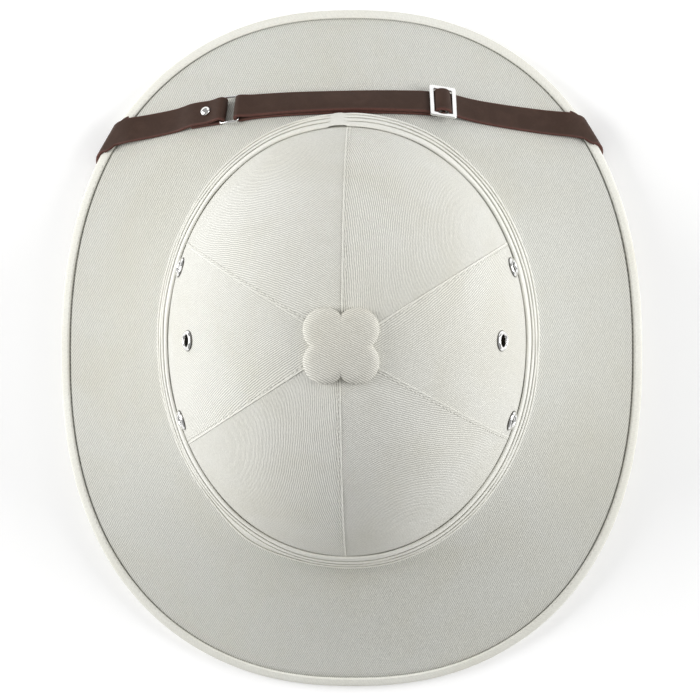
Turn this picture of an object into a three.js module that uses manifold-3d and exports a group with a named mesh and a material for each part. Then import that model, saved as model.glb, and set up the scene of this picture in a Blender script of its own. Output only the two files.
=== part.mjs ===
// Pith helmet: a wide-brimmed sun helmet. A light pith shell is covered with six cloth crown
// panels and a cloth brim cover. A pleated band goes round the foot of the crown, a bound edge
// goes round the brim, a cloth-covered cap closes the top, and a two-piece leather chin strap
// lies over the front of the brim, goes under its edge and ends inside the crown at the ears.
//
// Millimetres, +Z up. The wearer faces -Y. The origin is the middle of the plane that the helmet
// rests on. Azimuths are degrees, clockwise from the front as seen from above, so 90 is the
// wearer's right (-X). A lean is an angle down the crown from its top. A share is a place across
// the brim, from 0 at the foot of the crown to 1 at the edge.

import * as THREE from "three";
import { mergeVertices } from "three/addons/utils/BufferGeometryUtils.js";
import Module from "manifold-3d";

const wasm = await Module();
wasm.setup();

// ---------------------------------------------------------------- driving dimensions

const GAP = 0.3;
const CLOTH = 1.0;
const SHELL_WALL = 3.2;
const SHELL_EDGE_WALL = 2.2;

// The cloth surface of the crown: half an ellipsoid whose plan is a superellipse.
const CROWN = {
  halfWidth: 92.4,
  halfLength: 110.8,
  middleY: -5.3,
  middleZ: 39,
  rise: 119,
  squareness: 2.05,
  footLean: 84,
};

// The cloth surface of the brim. Its edge is level at front and rear and arched at the sides.
const BRIM = {
  halfWidth: 149.7,
  frontReach: 179.2,
  rearReach: 172.2,
  middleY: 3.5,
  squareness: 2.3,
  footHeight: 47.5,
  footFlare: 2.4,
  edgeHeight: 3.62,
  arch: 10,
  archStart: 22,
  sweep: 0.2,
};

// The crown's six panels, each with the azimuth of the seam where it starts.
const PANELS = [
  { name: "crown_panel_front_right", seam: 0 },
  { name: "crown_panel_right", seam: 58 },
  { name: "crown_panel_rear_right", seam: 120 },
  { name: "crown_panel_rear_left", seam: 180 },
  { name: "crown_panel_left", seam: 237 },
  { name: "crown_panel_front_left", seam: 301 },
];
const PANEL_COLUMNS = 8;
const FULL_TURN = 360;

// Rows of facets, from the top of the crown to the edge of the brim.
const CROWN_LEANS = [5, 14, 25, 37, 49, 60.5, 71.4, 78, CROWN.footLean];
const BRIM_SHARES = [0, 0.22, 0.47, 0.74, 1];
const BAND_TOP_LEAN = 71.4;
const PANEL_FOOT_LEAN = 78;

// The bound edge: how far its lips reach in over the brim.
const BINDING_LIP = 4.7;

// The pleated band: the upper edge of each fold, and how far it stands out from the crown.
const BAND_FOLDS = [
  { top: 77.0, topProud: 1.2, footProud: 1.4 },
  { top: 70.4, topProud: 2.1, footProud: 2.2 },
  { top: 64.1, topProud: 2.8, footProud: 3.0 },
  { top: 57.8, topProud: 3.6, footProud: 3.9 },
];
const BAND_FOOT = { height: 50.6, innerHeight: 49.4, innerProud: 1.9 };

// The vent cap: four round lobes on the diagonals.
const CAP = {
  lobeOffset: 7.4,
  lobeRadius: 10.1,
  columns: 32,
  rows: [
    { share: 0.35, thickness: 5.6 },
    { share: 0.66, thickness: 4.9 },
    { share: 0.88, thickness: 3.7 },
    { share: 0.97, thickness: 2.5 },
    { share: 1.0, thickness: 1.2 },
  ],
  topThickness: 5.9,
};

// The eyelets in the two side panels.
const EYELET = { hole: 2.85, barrel: 3.3, flange: 5.0, flangeRise: 0.9, sides: 12 };
const EYELETS = [
  { name: "eyelet_right_front", azimuth: 65.7, lean: 68.5 },
  { name: "eyelet_right_middle", azimuth: 89, lean: 54 },
  { name: "eyelet_right_rear", azimuth: 115.3, lean: 68.5 },
  { name: "eyelet_left_rear", azimuth: 244.7, lean: 68.5 },
  { name: "eyelet_left_middle", azimuth: 271, lean: 54 },
  { name: "eyelet_left_front", azimuth: 294.3, lean: 68.5 },
];

// The chin strap. A lift is the height of a strap's middle above the brim's cloth.
const STRAP = { width: 13.5, thickness: 1.7, clearance: 0.5 };
const FIRST_LIFT = STRAP.clearance + STRAP.thickness / 2;
const SECOND_LIFT = FIRST_LIFT + STRAP.thickness + 0.35;
const FOLD_RADIUS = 1.9;
const FOLD_LIFT = FIRST_LIFT + FOLD_RADIUS;
const WRAP = { radius: 4.5, stations: 7, settle: 24 };
const LEFT_WRAP = { azimuth: 310.6, advance: -4.6 };
const RIGHT_WRAP = { azimuth: 47.9, advance: 4.0 };

// Where the straps lie in plan, from where they come over the brim's edge to the ring.
const LEFT_PLAN = [
  { x: 97, y: -115.8 },
  { x: 80, y: -118.8 },
  { x: 70, y: -120 },
  { x: 61.5, y: -120.9 },
];
const SLIDER_PLACE = { x: -46, y: -123.1 };
const RIGHT_PLAN = [
  { x: -76.9, y: -119.1 },
  { x: -54.2, y: -122.3 },
  SLIDER_PLACE,
  { x: -39.7, y: -123.8 },
  { x: -25.8, y: -124 },
  { x: -0.6, y: -123.8 },
  { x: 29.9, y: -123.2 },
  { x: 46, y: -122.5 },
  { x: 57.4, y: -121.2 },
];
const FLAP_LENGTH = 19;

// The stretch of a strap that runs under the brim, from its edge to the wall at the ear. A depth
// is measured down the inside: 1 is the foot of the crown and 2 is the edge of the brim. A drop
// is the room that the strap leaves below the shell.
const UNDER_RUN = [
  { turn: 12, depth: 1.7, drop: 1.2 },
  { turn: 22, depth: 1.38, drop: 2.8 },
  { turn: 31, depth: 1.12, drop: 3.6 },
  { turn: 37, depth: 0.99, drop: 2.4 },
  { turn: 41.5, depth: 0.91, drop: 0.4 },
  { turn: 46, depth: 0.85, drop: 0.4 },
];
const UNDER_TWIST = { from: 0.2, to: 0.8 };
const STUD_DROP = 1.3;
const STUD = { turn: 41.5, depth: 0.91, shank: 2, head: 4.5, headThickness: 1.6, pocket: 2.2 };

const RING = { wire: 1.1, halfWidth: 7.9, halfLength: 4.9, corner: 1.4 };
const RING_HEADING = { x: 0.996, y: 0.09 };
const RIVET = { fromFold: 10.6, head: 2.6, dome: 1.5, shank: 1.2 };
const SLIDER = { length: 13.9, width: 19.4, side: 2.2, end: 2.2, bar: 1.6, thickness: 1.2, lift: 5.1 };
const SLIDER_HEADING = { x: 0.991, y: -0.135 };

const COLOURS = {
  cloth: { color: 0xe3e3dd, roughness: 0.9, metalness: 0 },
  pith: { color: 0xd8d4c6, roughness: 0.95, metalness: 0 },
  leather: { color: 0x4e3e36, roughness: 0.65, metalness: 0 },
  nickel: { color: 0xc8cacb, roughness: 0.25, metalness: 1 },
};

// ---------------------------------------------------------------- the helmet's surface

const { lerp, degToRad, clamp, smoothstep } = THREE.MathUtils;
const vector = (x, y, z) => new THREE.Vector3(x, y, z);

// Unit direction in plan along an azimuth.
function heading(azimuth) {
  return vector(-Math.sin(degToRad(azimuth)), -Math.cos(degToRad(azimuth)), 0);
}

// Distance from the middle of a superellipse to its outline along an azimuth.
function outlineReach(azimuth, halfWidth, frontReach, rearReach, squareness) {
  const across = Math.abs(Math.sin(degToRad(azimuth)));
  const along = Math.cos(degToRad(azimuth));
  const reach = along > 0 ? frontReach : rearReach;
  const total = (across / halfWidth) ** squareness + (Math.abs(along) / reach) ** squareness;
  return total ** (-1 / squareness);
}

function crownReach(azimuth) {
  return outlineReach(
    azimuth,
    CROWN.halfWidth,
    CROWN.halfLength,
    CROWN.halfLength,
    CROWN.squareness,
  );
}

function crownPoint(azimuth, lean) {
  const tilt = degToRad(lean);
  return heading(azimuth)
    .multiplyScalar(crownReach(azimuth) * Math.sin(tilt))
    .add(vector(0, CROWN.middleY, CROWN.middleZ + CROWN.rise * Math.cos(tilt)));
}

// The crown's outline at a height, pushed out by a distance.
function bandPoint(azimuth, height, proud) {
  const fall = (height - CROWN.middleZ) / CROWN.rise;
  const reach = crownReach(azimuth) * Math.sqrt(1 - fall * fall) + proud;
  return heading(azimuth).multiplyScalar(reach).add(vector(0, CROWN.middleY, height));
}

function edgeHeight(azimuth) {
  const aside = Math.abs(Math.sin(degToRad(azimuth)));
  return BRIM.edgeHeight + BRIM.arch * smoothstep(aside, Math.sin(degToRad(BRIM.archStart)), 1);
}

function brimReaches(azimuth) {
  return {
    foot: crownReach(azimuth) * Math.sin(degToRad(CROWN.footLean)) + BRIM.footFlare,
    edge: outlineReach(
      azimuth,
      BRIM.halfWidth,
      BRIM.frontReach,
      BRIM.rearReach,
      BRIM.squareness,
    ),
  };
}

function brimPoint(azimuth, share) {
  const { foot, edge } = brimReaches(azimuth);
  const low = edgeHeight(azimuth);
  const height = low + (BRIM.footHeight - low) * (1 - share) * (1 - BRIM.sweep * share);
  return heading(azimuth)
    .multiplyScalar(lerp(foot, edge, share))
    .add(vector(0, lerp(CROWN.middleY, BRIM.middleY, share), height));
}

// The whole surface by one number: 0 is the top, 1 the crown's foot and 2 the brim's edge.
function surfacePoint(azimuth, depth) {
  return depth <= 1
    ? crownPoint(azimuth, depth * CROWN.footLean)
    : brimPoint(azimuth, depth - 1);
}

function surfaceNormal(azimuth, depth) {
  const step = 0.02;
  const around = surfacePoint(azimuth + 1, depth).sub(surfacePoint(azimuth - 1, depth));
  const nearer = surfacePoint(azimuth, Math.max(depth - step, 0));
  const down = surfacePoint(azimuth, Math.min(depth + step, 2)).sub(nearer);
  return around.cross(down).normalize();
}

// The point at a signed distance out from the cloth surface.
function offsetPoint(azimuth, depth, distance) {
  return surfacePoint(azimuth, depth).addScaledVector(surfaceNormal(azimuth, depth), distance);
}

// The azimuth and share of the brim's point at a plan position.
function brimPlace(x, y) {
  const place = { azimuth: 0, share: 0.5 };
  for (let pass = 0; pass < 20; pass += 1) {
    const aside = y - lerp(CROWN.middleY, BRIM.middleY, place.share);
    place.azimuth = THREE.MathUtils.radToDeg(Math.atan2(-x, -aside));
    const { foot, edge } = brimReaches(place.azimuth);
    place.share = (Math.hypot(x, aside) - foot) / (edge - foot);
  }
  return place;
}

// A frame on the brim at a plan position: the point, the normal, and a direction along the brim.
function brimFrame(x, y, alongPlan) {
  const { azimuth, share } = brimPlace(x, y);
  const normal = surfaceNormal(azimuth, 1 + share);
  const point = brimPoint(azimuth, share);
  const slope = -(alongPlan.x * normal.x + alongPlan.y * normal.y) / normal.z;
  const along = vector(alongPlan.x, alongPlan.y, slope).normalize();
  return { point, normal, along };
}

function edgeDirection(azimuth) {
  return brimPoint(azimuth + 1, 1).sub(brimPoint(azimuth - 1, 1)).normalize();
}

// A frame at the brim's edge: the normal, and the outward direction square to the edge.
function edgeFrame(azimuth) {
  const normal = surfaceNormal(azimuth, 2);
  const outward = edgeDirection(azimuth).cross(normal).normalize();
  if (outward.dot(heading(azimuth)) < 0) outward.negate();
  return { point: brimPoint(azimuth, 1), normal, outward };
}

// ---------------------------------------------------------------- solids

// A closed geometry from points and triangles, with its faces turned outwards.
function closedGeometry(points, triangles) {
  const volume = triangles.reduce(
    (sum, [a, b, c]) => sum + points[a].dot(points[b].clone().cross(points[c])),
    0,
  );
  const indices = triangles.flatMap(([a, b, c]) => (volume < 0 ? [a, c, b] : [a, b, c]));
  const geometry = new THREE.BufferGeometry();
  geometry.setAttribute(
    "position",
    new THREE.Float32BufferAttribute(points.flatMap((point) => point.toArray()), 3),
  );
  geometry.setIndex(indices);
  return geometry;
}

// A wall between two grids of points, each a list of rows. It may close round its columns, and
// a pole on each side may close the hole inside its first row.
function wall(outer, inner, { around = false, poles = null } = {}) {
  const rows = outer.length;
  const columns = outer[0].length;
  const points = [...outer.flat(), ...inner.flat()];
  const out = (row, column) => row * columns + (column % columns);
  const back = (row, column) => rows * columns + out(row, column);
  const triangles = [];
  const quad = (a, b, c, d) => triangles.push([a, b, c], [a, c, d]);
  const cells = around ? columns : columns - 1;
  const last = rows - 1;
  for (let column = 0; column < cells; column += 1) {
    const next = column + 1;
    for (let row = 0; row < last; row += 1) {
      quad(out(row, column), out(row + 1, column), out(row + 1, next), out(row, next));
      quad(back(row, column), back(row, next), back(row + 1, next), back(row + 1, column));
    }
    quad(out(last, next), out(last, column), back(last, column), back(last, next));
    if (!poles) quad(out(0, column), out(0, next), back(0, next), back(0, column));
  }
  if (!around) {
    const end = columns - 1;
    for (let row = 0; row < last; row += 1) {
      quad(out(row + 1, 0), out(row, 0), back(row, 0), back(row + 1, 0));
      quad(out(row, end), out(row + 1, end), back(row + 1, end), back(row, end));
    }
  }
  if (poles) {
    const outerPole = points.push(poles.outer) - 1;
    const innerPole = points.push(poles.inner) - 1;
    for (let column = 0; column < columns; column += 1) {
      triangles.push([outerPole, out(0, column), out(0, column + 1)]);
      triangles.push([innerPole, back(0, column + 1), back(0, column)]);
    }
  }
  return closedGeometry(points, triangles);
}

// A ring of closed sections, each a list of points.
function ringOfSections(sections) {
  const count = sections[0].length;
  const points = sections.flat();
  const triangles = [];
  sections.forEach((section, index) => {
    const here = index * count;
    const next = ((index + 1) % sections.length) * count;
    section.forEach((point, corner) => {
      const after = (corner + 1) % count;
      triangles.push([here + corner, here + after, next + after]);
      triangles.push([here + corner, next + after, next + corner]);
    });
  });
  return closedGeometry(points, triangles);
}

// A flat strap through stations, each a point on its middle line and the normal of its face. Its
// sections are square to it, except near the brim's edge, where they turn to lie along the edge,
// because there the strap bends about the edge.
function ribbon(stations, { wrap, edgewise }) {
  const lengths = [0];
  stations.slice(1).forEach(({ point }, index) => {
    lengths.push(lengths[index] + point.distanceTo(stations[index].point));
  });
  const wrapStart = lengths[stations.indexOf(wrap.at(-1))];
  const wrapEnd = lengths[stations.indexOf(wrap[0])];
  const outer = [];
  const inner = [];
  stations.forEach(({ point, normal }, index) => {
    const before = stations[Math.max(index - 1, 0)].point;
    const after = stations[Math.min(index + 1, stations.length - 1)].point;
    const tangent = after.clone().sub(before).normalize();
    const square = tangent.cross(normal).normalize();
    const along = edgewise.clone().projectOnPlane(normal).normalize();
    if (along.dot(square) < 0) along.negate();
    const away = Math.max(wrapStart - lengths[index], lengths[index] - wrapEnd, 0);
    const side = square.clone().lerp(along, 1 - smoothstep(away, 0, WRAP.settle)).normalize();
    side.multiplyScalar(STRAP.width / 2 / side.dot(square));
    const face = normal.clone().multiplyScalar(STRAP.thickness / 2);
    const row = (sign) => [
      point.clone().addScaledVector(face, sign).sub(side),
      point.clone().addScaledVector(face, sign).add(side),
    ];
    outer.push(row(1));
    inner.push(row(-1));
  });
  return wall(outer, inner);
}

function toSolid(geometry) {
  const bare = geometry.clone();
  bare.deleteAttribute("normal");
  bare.deleteAttribute("uv");
  const merged = mergeVertices(bare, 1e-4);
  return new wasm.Manifold(
    new wasm.Mesh({
      numProp: 3,
      vertProperties: merged.attributes.position.array,
      triVerts: new Uint32Array(merged.index.array),
    }),
  );
}

function toGeometry(solid) {
  const { vertProperties, triVerts } = solid.getMesh();
  const geometry = new THREE.BufferGeometry();
  geometry.setAttribute("position", new THREE.Float32BufferAttribute(vertProperties, 3));
  geometry.setIndex([...triVerts]);
  return geometry;
}

function cutAway(geometry, cutters) {
  return toGeometry(cutters.reduce((solid, cutter) => solid.subtract(cutter), toSolid(geometry)));
}

// The matrix of a frame whose +Y is the given axis, so that a lathe's axis points along it.
function standOn(point, axis) {
  const turn = new THREE.Quaternion().setFromUnitVectors(vector(0, 1, 0), axis);
  return new THREE.Matrix4().compose(point, turn, vector(1, 1, 1));
}

// A plain cylinder through a point, to cut a hole with.
function drill(point, axis, radius, length) {
  const cylinder = new THREE.CylinderGeometry(radius, radius, length, EYELET.sides);
  return toSolid(cylinder.applyMatrix4(standOn(point, axis)));
}

const helmet = new THREE.Group();

function addPiece(name, geometry, finish) {
  const mesh = new THREE.Mesh(geometry, new THREE.MeshStandardMaterial(finish));
  mesh.name = name;
  helmet.add(mesh);
  return mesh;
}

// ---------------------------------------------------------------- columns and rows of facets

const panelEnd = (index) => (index + 1 < PANELS.length ? PANELS[index + 1].seam : FULL_TURN);

function panelAzimuths(index) {
  return Array.from({ length: PANEL_COLUMNS + 1 }, (_, step) =>
    lerp(PANELS[index].seam, panelEnd(index), step / PANEL_COLUMNS),
  );
}

const COLUMNS = PANELS.flatMap((panel, index) => panelAzimuths(index).slice(0, -1));
const CROWN_DEPTHS = CROWN_LEANS.map((lean) => lean / CROWN.footLean);
const BRIM_DEPTHS = BRIM_SHARES.map((share) => 1 + share);
const DEPTHS = [...CROWN_DEPTHS, ...BRIM_DEPTHS];

// The foot of the crown is a corner, so the normals on both sides of it are shared.
function gridPoint(azimuth, row, distance) {
  const depth = DEPTHS[row];
  if (row !== CROWN_DEPTHS.length - 1 && row !== CROWN_DEPTHS.length) {
    return offsetPoint(azimuth, depth, distance);
  }
  const share = row === CROWN_DEPTHS.length ? 0.62 : 0.38;
  const above = surfaceNormal(azimuth, DEPTHS[CROWN_DEPTHS.length - 2]);
  const normal = above.lerp(surfaceNormal(azimuth, BRIM_DEPTHS[1]), share).normalize();
  const point =
    row === CROWN_DEPTHS.length ? brimPoint(azimuth, 0) : crownPoint(azimuth, CROWN.footLean);
  return point.addScaledVector(normal, distance);
}

// The inner side of the shell. Its wall thins towards the brim's edge.
function shellInnerDistance(depth) {
  const thinning = clamp((depth - BRIM_DEPTHS[2]) / (2 - BRIM_DEPTHS[2]), 0, 1);
  return -(CLOTH + GAP + lerp(SHELL_WALL, SHELL_EDGE_WALL, thinning));
}

// ---------------------------------------------------------------- the eyelets and their holes

const eyeletHoles = EYELETS.map(({ azimuth, lean }) => {
  const depth = lean / CROWN.footLean;
  const point = surfacePoint(azimuth, depth);
  const normal = surfaceNormal(azimuth, depth);
  return { azimuth, point, normal, cutter: drill(point, normal, EYELET.barrel + GAP, 20) };
});

function makeEyelets() {
  const inside = -(CLOTH + GAP + SHELL_WALL);
  const profile = [
    [EYELET.hole, inside],
    [EYELET.barrel, inside],
    [EYELET.barrel, GAP],
    [EYELET.flange, GAP],
    [EYELET.flange - 0.3, GAP + EYELET.flangeRise * 0.7],
    [EYELET.flange - 1.1, GAP + EYELET.flangeRise],
    [EYELET.hole + 0.2, GAP + EYELET.flangeRise * 0.5],
    [EYELET.hole, inside],
  ].map(([radius, height]) => new THREE.Vector2(radius, height));
  EYELETS.forEach(({ name }, index) => {
    const { point, normal } = eyeletHoles[index];
    const mesh = addPiece(name, new THREE.LatheGeometry(profile, EYELET.sides), COLOURS.nickel);
    mesh.applyMatrix4(standOn(point, normal));
  });
}

// ---------------------------------------------------------------- shell, panels, brim cover

const earStuds = [
  { name: "strap_stud_left", azimuth: LEFT_WRAP.azimuth - STUD.turn },
  { name: "strap_stud_right", azimuth: RIGHT_WRAP.azimuth + STUD.turn },
].map(({ name, azimuth }) => {
  const normal = surfaceNormal(azimuth, STUD.depth).negate();
  const wallFace = offsetPoint(azimuth, STUD.depth, shellInnerDistance(STUD.depth));
  return { name, normal, wallFace };
});

function makeShell() {
  const rows = [...DEPTHS.keys()];
  const grid = (distance) =>
    rows.map((row) => COLUMNS.map((azimuth) => gridPoint(azimuth, row, distance(DEPTHS[row]))));
  const outer = grid(() => -(CLOTH + GAP));
  const inner = grid(shellInnerDistance);
  const poles = {
    outer: offsetPoint(0, 0, 0).add(vector(0, 0, -(CLOTH + GAP))),
    inner: offsetPoint(0, 0, 0).add(vector(0, 0, shellInnerDistance(0))),
  };
  const pockets = earStuds.map(({ wallFace, normal }) =>
    drill(wallFace, normal, STUD.shank + GAP, 2 * (STUD.pocket + GAP)),
  );
  const cutters = [...eyeletHoles.map(({ cutter }) => cutter), ...pockets];
  const shell = cutAway(wall(outer, inner, { around: true, poles }), cutters);
  addPiece("pith_shell", shell, COLOURS.pith);
}

function makeCrownPanels() {
  const lastRow = CROWN_LEANS.indexOf(PANEL_FOOT_LEAN);
  const rows = [...CROWN_LEANS.slice(0, lastRow + 1).keys()];
  PANELS.forEach(({ name }, index) => {
    const azimuths = panelAzimuths(index);
    const middle = (azimuths[0] + azimuths.at(-1)) / 2;
    const side = (distance) =>
      rows.map((row) => {
        const reach = crownReach(middle) * Math.sin(degToRad(CROWN_LEANS[row]));
        const inset = THREE.MathUtils.radToDeg(GAP / 2 / reach);
        return azimuths.map((azimuth) => {
          const seamSide = Math.sign(middle - azimuth);
          const atSeam = azimuth === azimuths[0] || azimuth === azimuths.at(-1);
          return gridPoint(azimuth + (atSeam ? seamSide * inset : 0), row, distance);
        });
      });
    const cutters = eyeletHoles
      .filter(({ azimuth }) => azimuth > azimuths[0] && azimuth < azimuths.at(-1))
      .map(({ cutter }) => cutter);
    addPiece(name, cutAway(wall(side(0), side(-CLOTH)), cutters), COLOURS.cloth);
  });
}

// The cover's first row is the foot of the crown, under the band.
function makeBrimCover() {
  const rows = [...DEPTHS.keys()].slice(CROWN_LEANS.length - 1);
  const side = (distance) =>
    rows.map((row) => COLUMNS.map((azimuth) => gridPoint(azimuth, row, distance)));
  addPiece("brim_cover", wall(side(0), side(-CLOTH), { around: true }), COLOURS.cloth);
}

// ---------------------------------------------------------------- bound edge

function makeBinding() {
  const under = -(CLOTH + GAP + SHELL_EDGE_WALL + GAP);
  const foot = under - CLOTH;
  const top = GAP + CLOTH;
  const section = [
    [-BINDING_LIP, GAP],
    [GAP, GAP],
    [GAP, under],
    [-BINDING_LIP, under],
    [-BINDING_LIP, foot],
    [-0.6, foot],
    [GAP + CLOTH - 0.15, foot + 1.6],
    [GAP + CLOTH - 0.15, top - 1.6],
    [-0.6, top],
    [-BINDING_LIP, top],
  ];
  const sections = COLUMNS.map((azimuth) => {
    const { point, normal, outward } = edgeFrame(azimuth);
    return section.map(([out, up]) =>
      point.clone().addScaledVector(outward, out).addScaledVector(normal, up),
    );
  });
  const depthBelow = 20;
  const floor = new THREE.BoxGeometry(500, 500, depthBelow);
  floor.translate(0, 0, -depthBelow / 2);
  const binding = cutAway(ringOfSections(sections), [toSolid(floor)]);
  addPiece("edge_binding", binding, COLOURS.cloth);
}

// ---------------------------------------------------------------- pleated band

function makeBand() {
  const foldEdge = 0.3;
  const sections = COLUMNS.map((azimuth) => {
    const outer = BAND_FOLDS.flatMap(({ top, topProud, footProud }, index) => {
      const next = BAND_FOLDS[index + 1];
      const foot = next ? next.top - foldEdge : BAND_FOOT.height;
      return [bandPoint(azimuth, top, topProud), bandPoint(azimuth, foot, footProud)];
    });
    const inner = [CROWN.footLean, PANEL_FOOT_LEAN, BAND_TOP_LEAN].map((lean) =>
      gridPoint(azimuth, CROWN_LEANS.indexOf(lean), GAP),
    );
    const foot = bandPoint(azimuth, BAND_FOOT.innerHeight, BAND_FOOT.innerProud);
    return [...outer, foot, ...inner];
  });
  addPiece("pleated_band", ringOfSections(sections), COLOURS.cloth);
}

// ---------------------------------------------------------------- vent cap

// The height of the crown's cloth at a plan position near its top.
function crownHeight(x, y) {
  const across = (Math.abs(x) / CROWN.halfWidth) ** CROWN.squareness;
  const along = (Math.abs(y - CROWN.middleY) / CROWN.halfLength) ** CROWN.squareness;
  const out = (across + along) ** (1 / CROWN.squareness);
  return CROWN.middleZ + CROWN.rise * Math.sqrt(1 - out * out);
}

function makeCap() {
  const toLobe = Math.hypot(CAP.lobeOffset, CAP.lobeOffset);
  const quarter = Math.PI / 2;
  const outlineAt = (turn) => {
    const off = (turn % quarter) - quarter / 2;
    return toLobe * Math.cos(off) + Math.sqrt(CAP.lobeRadius ** 2 - (toLobe * Math.sin(off)) ** 2);
  };
  const turns = Array.from({ length: CAP.columns }, (_, step) => (step * 4 * quarter) / CAP.columns);
  const pointAt = (turn, share, rise) => {
    const x = Math.cos(turn) * outlineAt(turn) * share;
    const y = CROWN.middleY + Math.sin(turn) * outlineAt(turn) * share;
    return vector(x, y, crownHeight(x, y) + GAP + rise);
  };
  const outer = CAP.rows.map(({ share, thickness }) =>
    turns.map((turn) => pointAt(turn, share, thickness)),
  );
  const inner = CAP.rows.map(({ share }) => turns.map((turn) => pointAt(turn, share, 0)));
  const poles = { outer: pointAt(0, 0, CAP.topThickness), inner: pointAt(0, 0, 0) };
  addPiece("vent_cap", wall(outer, inner, { around: true, poles }), COLOURS.cloth);
}

// ---------------------------------------------------------------- chin strap

// Stations round the brim's edge, from above to below. The strap crosses the edge aslant, so it
// moves along the edge as it goes round it.
function wrapStations({ azimuth, advance }) {
  const foot = -(CLOTH + GAP + SHELL_EDGE_WALL + GAP + CLOTH);
  const middle = (GAP + CLOTH + foot) / 2;
  const inset = GAP + CLOTH - (GAP + CLOTH - foot) / 2;
  return Array.from({ length: WRAP.stations }, (_, step) => {
    const share = step / (WRAP.stations - 1);
    const { point, normal, outward } = edgeFrame(azimuth + advance * (share - 0.5));
    const turn = Math.PI * share;
    const face = normal
      .clone()
      .multiplyScalar(Math.cos(turn))
      .addScaledVector(outward, Math.sin(turn));
    const centre = point.addScaledVector(outward, inset).addScaledVector(normal, middle);
    return { point: centre.addScaledVector(face, WRAP.radius), normal: face };
  });
}

// Stations under the brim and up the inside of the crown to the ear. The strap twists on the way,
// from facing down at the edge to facing inwards at the wall.
function underStations({ azimuth, advance }, edgeStation) {
  const hand = Math.sign(advance);
  const run = UNDER_RUN.map(({ turn, depth, drop }) =>
    offsetPoint(azimuth + hand * turn, depth, shellInnerDistance(depth) - FIRST_LIFT - drop),
  );
  const curve = new THREE.CatmullRomCurve3([edgeStation.point, ...run], false, "centripetal");
  const ear = surfaceNormal(azimuth + hand * STUD.turn, STUD.depth).negate();
  const count = 14;
  return Array.from({ length: count }, (_, step) => {
    const share = (step + 1) / count;
    const twist = smoothstep(share, UNDER_TWIST.from, UNDER_TWIST.to);
    return {
      point: curve.getPointAt(share),
      normal: edgeStation.normal.clone().lerp(ear, twist).normalize(),
    };
  });
}

// A smooth line in plan, by the distance along it.
function planLine(points) {
  const places = points.map(({ x, y }) => vector(x, y, 0));
  return new THREE.CatmullRomCurve3(places, false, "centripetal");
}

// Stations on the brim along a line in plan. The route's points are a distance along the line
// and a lift. Close points give close stations, and long stretches are divided.
function brimStations(line, route) {
  const longest = 8;
  const points = route.map(([along, lift]) => vector(along, lift, 0));
  const curve = new THREE.CatmullRomCurve3(points, false, "centripetal");
  const shares = points.slice(1).flatMap((point, segment) => {
    const count = Math.max(2, Math.ceil(point.distanceTo(points[segment]) / longest));
    return Array.from({ length: count }, (_, step) => (segment + step / count) / (points.length - 1));
  });
  return [...shares, 1].map((share) => {
    const { x: along, y: lift } = curve.getPoint(share);
    const tangent = curve.getTangent(share);
    const lineShare = along / line.getLength();
    const place = line.getPointAt(lineShare);
    const frame = brimFrame(place.x, place.y, line.getTangentAt(lineShare));
    return {
      point: frame.point.addScaledVector(frame.normal, lift),
      normal: frame.normal
        .multiplyScalar(tangent.x)
        .addScaledVector(frame.along, -tangent.y)
        .normalize(),
    };
  });
}

// The turn of a strap round the ring: up to it, round it, and back along the brim.
function foldRoute(length) {
  const middle = length - STRAP.thickness / 2 - FOLD_RADIUS;
  return [-90, -45, 0, 45, 90].map((degrees) => {
    const turn = degToRad(degrees);
    return [
      middle + FOLD_RADIUS * Math.cos(turn),
      FOLD_LIFT - FOLD_RADIUS * Math.sin(turn),
    ];
  });
}

// Coming off the edge, a strap passes over the lip of the binding before it meets the cloth.
const OVER_LIP = [
  [4, FIRST_LIFT + 1.35],
  [9, FIRST_LIFT + 1.3],
  [16, FIRST_LIFT + 0.5],
  [23, FIRST_LIFT],
];

// Over the middle bar of the slider and under its two ends. The distance is from the bar.
const THROUGH_SLIDER = [
  { away: 5.2, lift: 3.3 },
  { away: 4.2, lift: 3.4 },
  { away: 3.35, lift: 4.0 },
  { away: 2.78, lift: 5.0 },
  { away: 2.2, lift: 6.1 },
  { away: 1.3, lift: 6.85 },
];
const OVER_BAR_LIFT = 7.1;

const leftWrap = wrapStations(LEFT_WRAP);
const rightWrap = wrapStations(RIGHT_WRAP);
const leftLine = planLine([leftWrap[0].point, ...LEFT_PLAN]);
const rightLine = planLine([rightWrap[0].point, ...RIGHT_PLAN]);

function makeLeftStrap() {
  const length = leftLine.getLength();
  const flap = length - FLAP_LENGTH;
  const route = [
    ...OVER_LIP,
    [flap - 8, FIRST_LIFT],
    [flap + 1, SECOND_LIFT],
    [length - 9, SECOND_LIFT + 0.2],
    ...foldRoute(length),
    [length - 9, FIRST_LIFT],
    [flap, FIRST_LIFT],
  ];
  const stations = [
    ...underStations(LEFT_WRAP, leftWrap.at(-1)).reverse(),
    ...leftWrap.toReversed(),
    ...brimStations(leftLine, route),
  ];
  return ribbon(stations, { wrap: leftWrap, edgewise: edgeDirection(LEFT_WRAP.azimuth) });
}

// The slider's distance along the right strap's line.
function sliderDistance() {
  const samples = rightLine.getSpacedPoints(400);
  const place = samples.findIndex((point) => point.x >= SLIDER_PLACE.x);
  return (place / (samples.length - 1)) * rightLine.getLength();
}

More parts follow.
